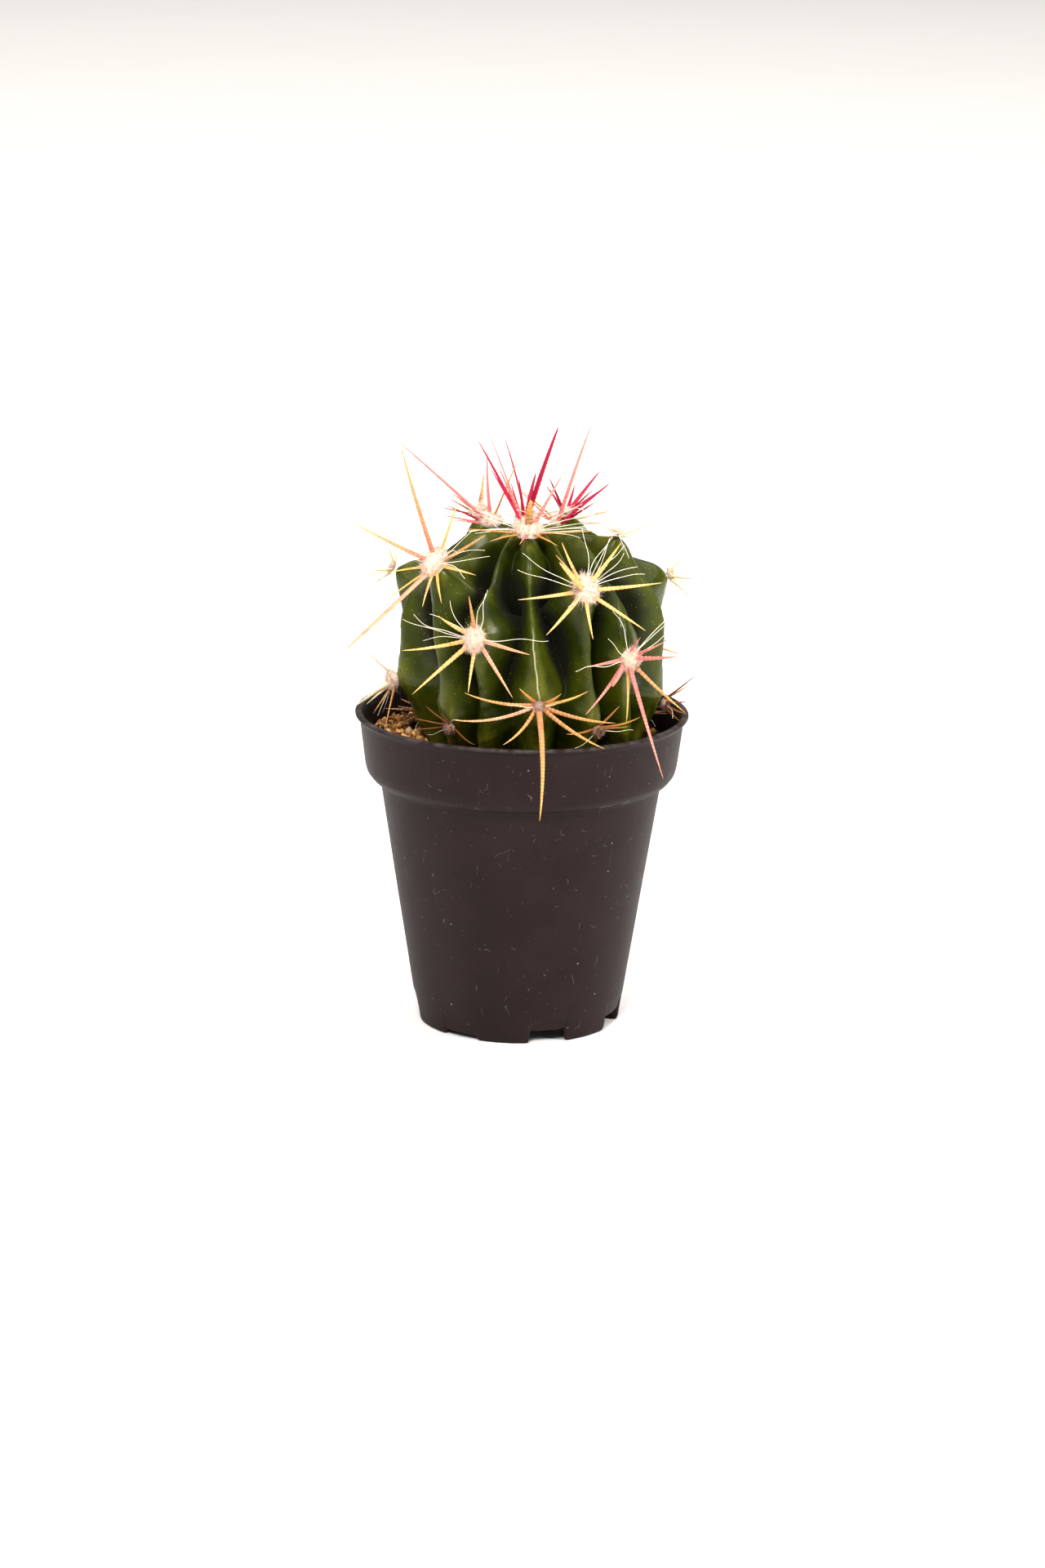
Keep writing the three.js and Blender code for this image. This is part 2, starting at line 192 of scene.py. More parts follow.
class Web:
    """The nodes of one material or world."""

    def __init__(self, tree):
        self.tree = tree

    def node(self, kind, settings=None, inputs=None, output=0):
        """Adds a node, sets it up, feeds its sockets with numbers, colours or Amounts."""
        node = self.tree.nodes.new(kind)
        for key, value in (settings or {}).items():
            setattr(node, key, value)
        for key, value in (inputs or {}).items():
            self.feed(node.inputs[key], value)
        return Amount(self, node.outputs[output])

    def feed(self, socket, value):
        if isinstance(value, Amount):
            self.tree.links.new(value.socket, socket)
        elif socket.type == "RGBA":
            socket.default_value = (*value, 1)
        else:
            socket.default_value = value

    def mix(self, share, first, second):
        """The first colour where share is 0, the second where it is 1."""
        return self.node("ShaderNodeMix", {"data_type": "RGBA"}, {0: share, 6: first, 7: second}, 2)


class Finish(Web):
    """A material with one Principled shader, built up from patterns."""

    def __init__(self, name, **constants):
        self.material = bpy.data.materials.new(name)
        self.material.use_nodes = True
        super().__init__(self.material.node_tree)
        self.shader = self.tree.nodes["Principled BSDF"]
        for socket, value in constants.items():
            self.shader.inputs[socket.replace("_", " ")].default_value = value

    def place(self, stretch=(1, 1, 1)):
        """Object coordinates, stretched for a pattern that is longer one way."""
        where = self.node("ShaderNodeTexCoord", output="Object")
        return self.node("ShaderNodeMapping", {"vector_type": "POINT"}, {"Vector": where, "Scale": stretch})

    def height(self):
        """Height over the standing surface, in millimetres."""
        where = self.node("ShaderNodeTexCoord", output="Object")
        return self.node("ShaderNodeSeparateXYZ", {}, {0: where}, "Z") * (1 / MM)

    def noise(self, size, detail=3, stretch=(1, 1, 1)):
        """Cloudy pattern round 0.5, with clouds about `size` millimetres across."""
        return self.node("ShaderNodeTexNoise", {}, {
            "Vector": self.place(stretch), "Scale": 1 / (size * MM), "Detail": detail}, "Fac")

    def hairlines(self, size, width, stretch=(1, 1, 1)):
        """Thin curved lines: where a cloudy pattern passes through its middle value."""
        return 1 - abs(self.noise(size, 1, stretch) - 0.5).between(width * 0.4, width)

    def cells(self, size):
        """Distance to scattered points that lie about `size` millimetres apart."""
        return self.node("ShaderNodeTexVoronoi", {}, {
            "Vector": self.place(), "Scale": 1 / (size * MM)}, "Distance")

    def number(self, name):
        return self.node("ShaderNodeAttribute", {"attribute_name": name}, {}, "Fac")

    def colour(self, name):
        return self.node("ShaderNodeAttribute", {"attribute_name": name}, {}, "Color")

    def bump(self, height, strength, distance):
        return self.node("ShaderNodeBump", {}, {
            "Strength": strength, "Distance": distance * MM, "Height": height}, "Normal")

    def use(self, **patterns):
        """Feeds patterns to the shader, by socket name with underscores for spaces."""
        for socket, value in patterns.items():
            self.feed(self.shader.inputs[socket.replace("_", " ")], value)
        return self.material


def finished(piece, material, slot, *nodes):
    """Gives a piece its material and puts it in the place of the CAD nodes it stands for. The slot is not
    used.
    """
    piece.data.materials.append(material)
    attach(piece, "root")
    if nodes:
        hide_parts(*nodes)


# %% [markdown]
# ## Camera, floor and light
#
# The camera looks down at the plant by some 15 degrees from 70 cm away, through a long lens, so
# that the rim of the pot is a narrow ellipse. The light is a bright, plain studio. A very large box
# overhead whitens the floor, a small one in front models the ribs, and two narrow ones at the sides,
# the right one stronger, put the shine on the skin. The room is pale at the horizon and dim above
# it: the pale band is what glows along both sides of the dark pot.

# %% Camera
LENS_LENGTH = 100.4
CAMERA_PLACE = (0.0003, -0.700, 0.222)
CAMERA_DOWN = math.radians(14.6)
CAMERA_ROLL = math.radians(0.8)
camera_data = bpy.data.cameras.new("camera")
camera_data.lens = LENS_LENGTH
camera = bpy.data.objects.new("camera", camera_data)
bpy.context.collection.objects.link(camera)
camera.matrix_world = (Matrix.Translation(CAMERA_PLACE)
                       @ Matrix.Rotation(math.pi / 2 - CAMERA_DOWN, 4, "X")
                       @ Matrix.Rotation(CAMERA_ROLL, 4, "Z"))
bpy.context.scene.camera = camera
bpy.context.scene.view_settings.view_transform = "Standard"
bpy.context.scene.view_settings.gamma = 0.85
print("the camera stands", -CAMERA_PLACE[1], "m in front of the plant")

# %% Floor, backdrop light and soft boxes
FLOOR_HALF_SIDE = 3.0
PLANT_MIDDLE = (0, 0, 0.06)
LAMP_COLOUR = (1, 0.98, 0.95)


def add_floor(half_side):
    """A square sheet of pale paper under the plant. Distances here are in metres."""
    corners = np.array([[-1, -1], [1, -1], [1, 1], [-1, 1]]) * half_side
    points = np.column_stack([corners, np.zeros(4)])
    floor = add_piece("studio_floor", points / MM, [[0, 1, 2, 3]], [])
    paper = Finish("studio_paper", Roughness=0.9)
    colour = paper.mix(paper.noise(40, 2), (0.93, 0.92, 0.91), (0.95, 0.94, 0.93))
    floor.data.materials.append(paper.use(Base_Color=colour))


def add_soft_box(name, place, target, size, power):
    """A rectangular lamp at a place, turned so that it shines towards the target."""
    light = bpy.data.lights.new(name, "AREA")
    light.shape = "RECTANGLE"
    light.size, light.size_y = size
    light.energy = power
    light.color = LAMP_COLOUR
    box = bpy.data.objects.new(name, light)
    box.location = place
    box.rotation_euler = (Vector(place) - Vector(target)).to_track_quat("Z", "Y").to_euler()
    bpy.context.collection.objects.link(box)


def add_sky(name):
    """A pale band all round at the horizon, and a dimmer room above it."""
    world = bpy.data.worlds.new(name)
    world.use_nodes = True
    sky = Web(world.node_tree)
    direction = sky.node("ShaderNodeTexCoord", output="Generated")
    rise = sky.node("ShaderNodeSeparateXYZ", {}, {0: direction}, "Z")
    colour = sky.mix(rise.between(0.06, 0.30), (0.95, 0.94, 0.93), (0.16, 0.155, 0.15))
    sky.feed(world.node_tree.nodes["Background"].inputs["Color"], colour)
    bpy.context.scene.world = world


add_floor(FLOOR_HALF_SIDE)
add_soft_box("overhead_box", (0, 0.7, 1.7), (0, 0.7, 0), (2.8, 4.2), 62)
add_soft_box("front_box", (-0.15, -0.80, 0.80), PLANT_MIDDLE, (0.26, 0.26), 9)
add_soft_box("left_box", (-0.60, -0.35, 0.55), PLANT_MIDDLE, (0.10, 0.25), 1.4)
add_soft_box("right_box", (0.62, -0.30, 0.45), PLANT_MIDDLE, (0.16, 0.30), 5)
add_sky("studio_room")
print("camera and light are set")

# %% [markdown]
# ## The nursery pot
#
# A nursery pot is one thin moulding: a tapered body, a wider collar that pots nest by, a small bead
# round the lip, and a skirt under the floor with drain notches cut into its foot. It is a turned
# shape, so its outline is carried round the axis on a grid. The notches are not cut out of it:
# where a notch is, the lowest few millimetres of the outline are squeezed upwards, which keeps the
# whole pot one clean skin.

# %% Pot outline
POT_HEIGHT = 52.3
LIP_RADIUS = 27.5
WALL = 0.9
FLOOR_HEIGHT = 2.6
FLOOR_TOP = 3.4
SKIRT_TOP = 5
NOTCH_COUNT = 7
NOTCH_TURN = math.radians(17.5)
NOTCH_WIDTH = math.radians(21)
NOTCH_HEIGHT = 2.15
SHALLOW_HEIGHT = 0.8
CORNER_RADIUS = 0.7
SEAM_PLACE = math.radians(-34)
POT_COLUMNS = 720


def rounded(outline, radius, steps=5):
    """The outline with each inner corner turned into a short curve: a quadratic curve between the
    points `radius` before and after the corner, or halfway along a shorter side."""
    points = np.array(outline, float)
    corner = points[1:-1, None]
    def towards(other):
        gap = other[:, None] - corner
        return corner + gap * np.minimum(radius / np.linalg.norm(gap, axis=-1, keepdims=True), 0.45)
    start, end = towards(points[:-2]), towards(points[2:])
    t = np.linspace(0, 1, steps)[None, :, None]
    bends = (1 - t) ** 2 * start + 2 * t * (1 - t) * corner + t ** 2 * end
    return np.vstack([points[:1], bends.reshape(-1, 2), points[-1:]])


inner_outline = [
    (0, FLOOR_TOP), (16.3, FLOOR_TOP), (17.7 - WALL, SKIRT_TOP), (23 - WALL, 39), (22.5, 41),
    (24, 42.3), (25.8 - WALL, 43.9), (25.9, 51), (26.5, POT_HEIGHT),
]
outer_outline = [
    (27.2, POT_HEIGHT), (LIP_RADIUS, POT_HEIGHT - 0.25), (LIP_RADIUS, 51.7), (26.8, 51.2),
    (26.65, 50.4), (25.8, 43.6), (25.5, 42.4), (24.7, 41.3), (23.5, 40.9), (23.25, 40.3), (23, 39),
    (20.3, 22), (17.6, SKIRT_TOP), (17.3, 3.4), (17.05, 1.7), (16.9, 0.5), (16.7, 0), (15.9, 0),
    (15.8, 0.6), (15.85, 1.6), (15.9, FLOOR_HEIGHT), (0, FLOOR_HEIGHT),
]
pot_outline = rounded(inner_outline + outer_outline, 0.35)[1:-1]
print("pot outline points:", len(pot_outline))

# %% Pot surface
def notch_height(azimuth):
    """How high the foot's edge is lifted: a flat-topped step inside each notch, and beside it a
    quarter circle, which rounds the corner between the notch and the foot."""
    step = TURN / NOTCH_COUNT
    number = np.round((azimuth - NOTCH_TURN) / step)
    offset = np.abs(azimuth - NOTCH_TURN - number * step)
    inside = np.clip((NOTCH_WIDTH / 2 - offset) / math.radians(0.8) + 0.5, 0, 1)
    shallow = np.mod(number, NOTCH_COUNT) == NOTCH_COUNT - 1
    height = inside * np.where(shallow, SHALLOW_HEIGHT, NOTCH_HEIGHT)
    beyond = (offset - NOTCH_WIDTH / 2) * outer_outline[-6][0]
    toward = np.clip(CORNER_RADIUS - beyond, 0, CORNER_RADIUS)
    corner = CORNER_RADIUS - np.sqrt(CORNER_RADIUS ** 2 - toward ** 2)
    return np.maximum(height, np.where(beyond > 0, corner, 0))


def pot_surface():
    """The outline turned round the axis. Below the top of the skirt, a height z becomes
    edge + z * (top - edge) / top, where edge is the notch height; the thin wall is a little uneven,
    and a fine seam of the mould runs down one side of the collar."""
    azimuth = TURN * np.arange(POT_COLUMNS) / POT_COLUMNS
    radius, z = (column[:, None] for column in pot_outline.T)
    edge = notch_height(azimuth)[None]
    top = np.where(radius > 15.95, SKIRT_TOP, FLOOR_HEIGHT)
    lifted = np.where(z < top, edge + z * (top - edge) / top, z)
    uneven = 0.06 * np.sin(2 * azimuth + 0.6) + 0.04 * np.sin(5 * azimuth + z / 9)
    seam = 0.05 * np.exp(-((azimuth - SEAM_PLACE - TURN) / math.radians(0.4)) ** 2) * (z > 42)
    wide = radius + uneven * (radius > 14) + seam * (radius > 25)
    return np.stack([wide * np.sin(azimuth), -wide * np.cos(azimuth), lifted + 0 * azimuth], -1)


pot_points = np.vstack([
    [[0, 0, FLOOR_TOP]], pot_surface().reshape(-1, 3), [[0, 0, FLOOR_HEIGHT]],
])
pot = add_piece("moulded_pot", pot_points, *wrapped_faces(len(pot_outline), POT_COLUMNS))

# %% [markdown]
# Black nursery plastic is not black but a warm charcoal with a dull sheen. Handling has left it
# with short pale scratches, specks of lime and dust, and a worn line where the collar's lower edge
# rubs on its neighbours. Each of these is a mask, and the masks lighten the charcoal and make it
# less shiny where they lie.

# %% Pot plastic
def pot_plastic():
    plastic = Finish("charcoal_plastic", Specular_IOR_Level=0.21)
    broad = plastic.noise(9, 4)
    height = plastic.height()
    soiled = plastic.noise(7, 3).between(0.46, 0.62)
    specks = 1 - plastic.cells(2.3).between(0.035, 0.075)
    dust = 1 - plastic.cells(0.9).between(0.05, 0.10)
    arcs = plastic.hairlines(4, 0.006) * plastic.noise(2.1, 2).between(0.60, 0.64)
    scores = plastic.hairlines(6, 0.003, (1, 1, 0.25)) * plastic.noise(3.5, 2).between(0.60, 0.66)
    ledge = height.between(41.0, 41.4) * (1 - height.between(41.7, 42.3))
    worn = ledge * plastic.noise(8, 1).between(0.55, 0.7)
    lip = height.between(51.6, 52.2) * plastic.noise(2, 4).between(0.3, 0.7)
    marks = (specks * soiled * 0.5 + dust * soiled * 0.2 + arcs * 0.14 + scores * 0.11
             + worn * plastic.noise(1.2, 3).between(0.4, 0.6) * 0.3 + lip * 0.10)
    dusty = plastic.mix(broad.between(0.3, 0.75), (0.0160, 0.0072, 0.0070), (0.0225, 0.0115, 0.0110))
    colour = plastic.mix(marks, dusty, (0.55, 0.50, 0.46))
    grain = plastic.noise(0.45, 2) * 0.5 + broad + (arcs + scores) * 0.2
    return plastic.use(
        Base_Color=colour, Roughness=0.42 + broad * 0.14 + marks * 0.3,
        Normal=plastic.bump(grain, 0.12, 0.05))


finished(pot, pot_plastic(), "pot_plastic", "nursery_pot")
print("pot faces:", len(pot.data.polygons))

# %% [markdown]
# ## The shape of the stem
#
# A rib's crest is a smooth line from the crown over the shoulder and down to the soil. Round the
# stem, a place is counted in ribs. At each place and depth the skin is as high as the highest of
# the ridges near it, and each ridge swells and rises at its own areoles. Because neighbouring ribs
# have their areoles at different depths, wide parts and narrow parts interlock, as on the plant.

# %% Crest line and spiral
RIBS = 13
RIB_DEPTH = 6.8
RIB_POWER = 1.15
RIB_SWELL = 0.4
FURROW_BLEND = 0.35
CREST_ROUNDING = 0.22
SOIL_LEVEL = 47
STEM_OFFSET = 2.3
STEM_LEAN = math.radians(1.8)
CREST = np.array([
    (0, 82.6), (4, 83.2), (8, 83.4), (12, 83.0), (16, 81.7), (20, 79.0), (22.9, 75), (23.8, 70.5),
    (23.5, 65.5), (22.9, 61), (21.9, 56.5), (20.2, 52.5), (18.2, 49), (16.8, 46.5), (13.5, 42),
    (8, 37.5), (0, 36),
])
SPIRAL_STEP = 5
SPIRAL_REACH = 62
SPIRAL_MIDDLE = 6
SPIRAL_SPREAD = 5.6
SPIRAL_START = 5.3
FIRST_AREOLE = -5
LAST_AREOLE = 20
LAST_WOOLLY = 11
SWING = {0: -3, 2: -15, 3: 4, 5: -6, 6: 10, 8: 6, 10: -16, 13: 2, 15: 8, 16: 16, 18: 2}
SLIP = {0: -1.5, 3: 3, 5: 1.5, 8: 0.5, 11: 4, 15: 2, 18: -2}


def crest_samples():
    """Points along a smooth curve through the crest points (a Catmull-Rom curve: on each stretch, a
    cubic whose slope at a point is half the step between its two neighbours), with arc lengths."""
    first, last = CREST[1] * [-1, 1], 2 * CREST[-1] - CREST[-2]
    points = np.vstack([first, CREST, last])
    t = np.linspace(0, len(CREST) - 1, 1601)
    stretch = np.minimum(t.astype(int), len(CREST) - 2)
    f = (t - stretch)[:, None]
    a, b, c, d = (points[stretch + k] for k in range(4))
    line = 0.5 * (2 * b + (c - a) * f + (2 * a - 5 * b + 4 * c - d) * f ** 2
                  + (3 * b - a - 3 * c + d) * f ** 3)
    steps = np.linalg.norm(np.diff(line, axis=0), axis=1)
    return line, np.concatenate([[0], np.cumsum(steps)])


crest_line, crest_arc = crest_samples()
STEM_ARC = crest_arc[-1]


def crest_at(arc):
    """Radius and height of the crest at an arc length from the crown."""
    return np.interp(arc, crest_arc, crest_line[:, 0]), np.interp(arc, crest_arc, crest_line[:, 1])


def rib_of(areole):
    return (-SPIRAL_STEP * areole) % RIBS


def arc_of(areole):
    """An S-shaped law: young areoles crowd at the crown, and old ones at the soil."""
    return SPIRAL_REACH / (1 + np.exp(-(areole - SPIRAL_MIDDLE) / SPIRAL_SPREAD)) - SPIRAL_START


def age_at(arc):
    """The areole number, with fractions, at an arc length: the inverse of arc_of."""
    share = np.clip((arc + SPIRAL_START) / SPIRAL_REACH, 0.02, 0.975)
    return SPIRAL_MIDDLE + SPIRAL_SPREAD * np.log(share / (1 - share))


def looked_up(table, numbers):
    """The table's entry for each number, or 0 where it has none."""
    return sum(np.where(numbers == key, value, 0.0) for key, value in table.items())


print("arc length from crown to root:", round(STEM_ARC, 1), "mm")

# %% Skin of the stem
def swing(rib, age):
    """Degrees by which a rib swings aside, most at an areole that departs from the spiral."""
    total = 0
    for areole, turn in SWING.items():
        near = np.clip(1 - np.abs(age - areole) / RIBS, 0, 1)
        total = total + np.where(rib % RIBS == rib_of(areole), turn * near, 0)
    return total


def bumps(rib, arc, reach_up, reach_down, sharpness):
    """1 at each areole of a rib, falling away to the power e of minus the distance, as a share of
    the reach, raised to the sharpness: 2 gives a bell, less gives a peak."""
    total = 0
    for lap in range(-1, 3):
        areole = (SPIRAL_STEP * rib) % RIBS + RIBS * lap
        centre = arc_of(areole) + looked_up(SLIP, areole)
        reach = np.where(arc < centre, reach_up, reach_down)
        total = total + np.where(centre > 0, np.exp(-(np.abs(arc - centre) / reach) ** sharpness), 0)
    return np.minimum(total, 1)


def relief(place, arc):
    """Height of the skin over the crest line, in millimetres: a soft maximum, the logarithm of a sum
    of exponentials, of the four nearest ridges. Each is round on top and falls off to its sides
    in nearly flat faces, by the root of a sum of squares raised to a power."""
    radius = crest_at(arc)[0]
    low = np.clip((STEM_ARC - 2 - arc) / 14, 0, 1)
    fade = np.clip(radius / 15, 0, 1) ** 0.9 * low
    sink = (4.6 - 2.6 * np.clip((arc - 20) / 14, 0, 1)) * np.clip((arc - 3) / 16, 0, 1) * low
    first = np.floor(place)
    total = 0
    for rib in (first - 1, first, first + 1, first + 2):
        width = 1 + RIB_SWELL * (2 * bumps(rib, arc - 1, 8.5, 7.5, 2) - 1)
        side = np.sqrt(((place - rib) * 2 / width) ** 2 + CREST_ROUNDING ** 2) - CREST_ROUNDING
        side = side / (math.hypot(1, CREST_ROUNDING) - CREST_ROUNDING)
        height = -sink * (1 - bumps(rib, arc, 5.0, 5.6, 1.5)) - RIB_DEPTH * fade * side ** RIB_POWER
        total = total + np.exp(height / FURROW_BLEND)
    return FURROW_BLEND * np.log(total) * np.clip(radius / 2, 0, 1)


def skin(place, arc, extra=0):
    """Points of the skin for places round the stem, in ribs from the front, and arc lengths from
    the crown. The height is laid off square to the crest line; then the stem leans and moves."""
    place, arc = np.broadcast_arrays(np.asarray(place, float), np.asarray(arc, float))
    radius, z = crest_at(arc)
    ahead, behind = crest_at(arc + 0.05), crest_at(arc - 0.05)
    slope = unit(np.stack([ahead[0] - behind[0], ahead[1] - behind[1]], -1))
    height = relief(place, arc) + extra
    first = np.floor(place)
    share = place - first
    age = age_at(arc)
    aside = swing(first, age) * (1 - share) + swing(first + 1, age) * share
    azimuth = place * TURN / RIBS + np.radians(aside)
    wide = radius - height * slope[..., 1]
    x, y = wide * np.sin(azimuth), -wide * np.cos(azimuth)
    up = z + height * slope[..., 0] - SOIL_LEVEL
    cosine, sine = math.cos(STEM_LEAN), math.sin(STEM_LEAN)
    return np.stack([STEM_OFFSET + x * cosine - up * sine, y, SOIL_LEVEL + x * sine + up * cosine], -1)


# %% [markdown]
# ## The stem
#
# The stem is one closed skin: a grid of places round it and depths down it, closed at the crown and
# at the root stub. Faint dimples keep its shine from looking machined. Four numbers are kept for the
# finish: how far a point is from the bottom of its furrow, how near it is to an areole, how far
# down the stem it is, and how far to the side of the front rib's crest.

# %% Stem surface
COLUMNS_PER_RIB = 28
STEM_COLUMNS = RIBS * COLUMNS_PER_RIB
stem_arcs = np.concatenate([
    np.linspace(0, 58, 235)[1:], np.linspace(58, STEM_ARC, 14)[1:-1],
])
places, arcs = np.meshgrid(RIBS * np.arange(STEM_COLUMNS) / STEM_COLUMNS, stem_arcs)
plain_skin = skin(places, arcs)
dimples = 0.10 * ripples(plain_skin, 5, 1) + 0.05 * ripples(plain_skin, 1.8, 2)
rib_crest = np.clip(1 + relief(places, arcs) / RIB_DEPTH, 0, 1)
calm = np.clip(crest_at(arcs)[0] / 6, 0, 1)
stem_grid = skin(places, arcs, dimples * calm)
stem_points = np.vstack([skin(0, 0)[None], stem_grid.reshape(-1, 3), skin(0, STEM_ARC)[None]])
stem = add_piece("ribbed_stem", stem_points, *wrapped_faces(len(stem_arcs), STEM_COLUMNS))
from_crest = np.abs(places - np.round(places))
near_areole = bumps(np.round(places), arcs, 2.2, 2.2, 2) * np.clip(1 - from_crest * 4, 0, 1)
store_number(stem, "crest", np.concatenate([[1], rib_crest.ravel(), [1]]))
store_number(stem, "areole", np.concatenate([[1], near_areole.ravel(), [0]]))
store_number(stem, "depth", np.concatenate([[0], arcs.ravel() / STEM_ARC, [1]]))
from_front_rib = np.mod(places + 0.5, RIBS) - 0.5
across_rib = from_front_rib * TURN / RIBS * crest_at(arcs)[0]
store_number(stem, "across", np.concatenate([[9], across_rib.ravel(), [9]]))
print("stem faces:", len(stem.data.polygons))

# %% [markdown]
# The skin is a waxy dark green. Along the crests it is painted lighter, yellow green, as a painted
# highlight, and deep in the furrows it is painted nearly black, as painted shade, and has no shine.
# Tiny pale dots are its breathing pores, and a pale line painted down part of the front rib's crest is
# a painted highlight over a faint ridge in the bump. Near the soil the skin ages and goes brown and dull.

# %% Stem skin
def waxy_skin():
    wax = Finish("waxy_green_skin", Specular_IOR_Level=0.30)
    crest, near, depth = wax.number("crest"), wax.number("areole"), wax.number("depth")
    clouds = wax.noise(7, 4)
    streaks = wax.noise(2.5, 4, (1, 1, 0.35))
    green = wax.mix(clouds.between(0.3, 0.7), (0.020, 0.030, 0.0010), (0.062, 0.074, 0.0025))
    # Painted highlight: the crests are painted a lighter yellow green where light catches the ridges.
    crest_highlight = wax.mix(crest.between(0.6, 1.0) * streaks.between(0.3, 0.75) * 0.8, green, (0.170, 0.178, 0.012))
    # Painted shade: deep in the furrows the colour is painted nearly black, where shade falls.
    shaded_furrows = wax.mix(1 - crest.between(0.05, 0.5), crest_highlight, (0.010, 0.012, 0.001))
    pores = (1 - wax.cells(0.7).between(0.06, 0.15)) * clouds.between(0.38, 0.55)
    dotted = wax.mix(pores * 0.45, shaded_furrows, (0.50, 0.50, 0.30))
    # Painted highlight: a pale line painted down part of the front rib's crest, which also raises a faint
    # ridge in the bump.
    wander = (wax.noise(5, 1) - 0.5) * 1.6
    middle = 1 - abs(wax.number("across") + wander).between(0.06, 0.24)
    stretch = depth.between(0.38, 0.42) * (1 - depth.between(0.58, 0.63))
    highlight_ridge = middle * stretch * streaks.between(0.25, 0.5)
    with_highlight_line = wax.mix(highlight_ridge * 0.55, dotted, (0.62, 0.60, 0.42))
    corky = near.between(0.35, 0.95) * 0.5 + depth.between(0.66, 0.8) * streaks.between(0.4, 0.7) * 0.35
    colour = wax.mix(corky, with_highlight_line, (0.10, 0.065, 0.03))
    relief_map = streaks * 0.5 + wax.noise(0.6, 2) * 0.35 + pores * 0.2 + highlight_ridge * 0.3
    return wax.use(
        Base_Color=colour,
        Roughness=1 - crest.between(0.02, 0.35) * 0.62 - crest * 0.22 + clouds * 0.16 + corky * 0.3,
        Normal=wax.bump(relief_map, 0.22, 0.12))


finished(stem, waxy_skin(), "stem_skin", "cactus_stem")

# %% [markdown]
# ## Spines
#
# A spine grows out of the middle of its areole, where the clock angle says which way it points,
# with 12 towards the crown, and the tilt says how far it stands off the skin. The stout ones are
# flattened, and ringed like a ram's horn because they grew in daily steps. Those that can be told
# apart are listed one by one; the areoles round the back follow a common pattern.
#
# A row gives the clock angle, the tilt, the length, the width at the root and a letter for the
# colouring: crimson and pink when young, then yellow, then brown. A spine that droops has its curl
# after that.

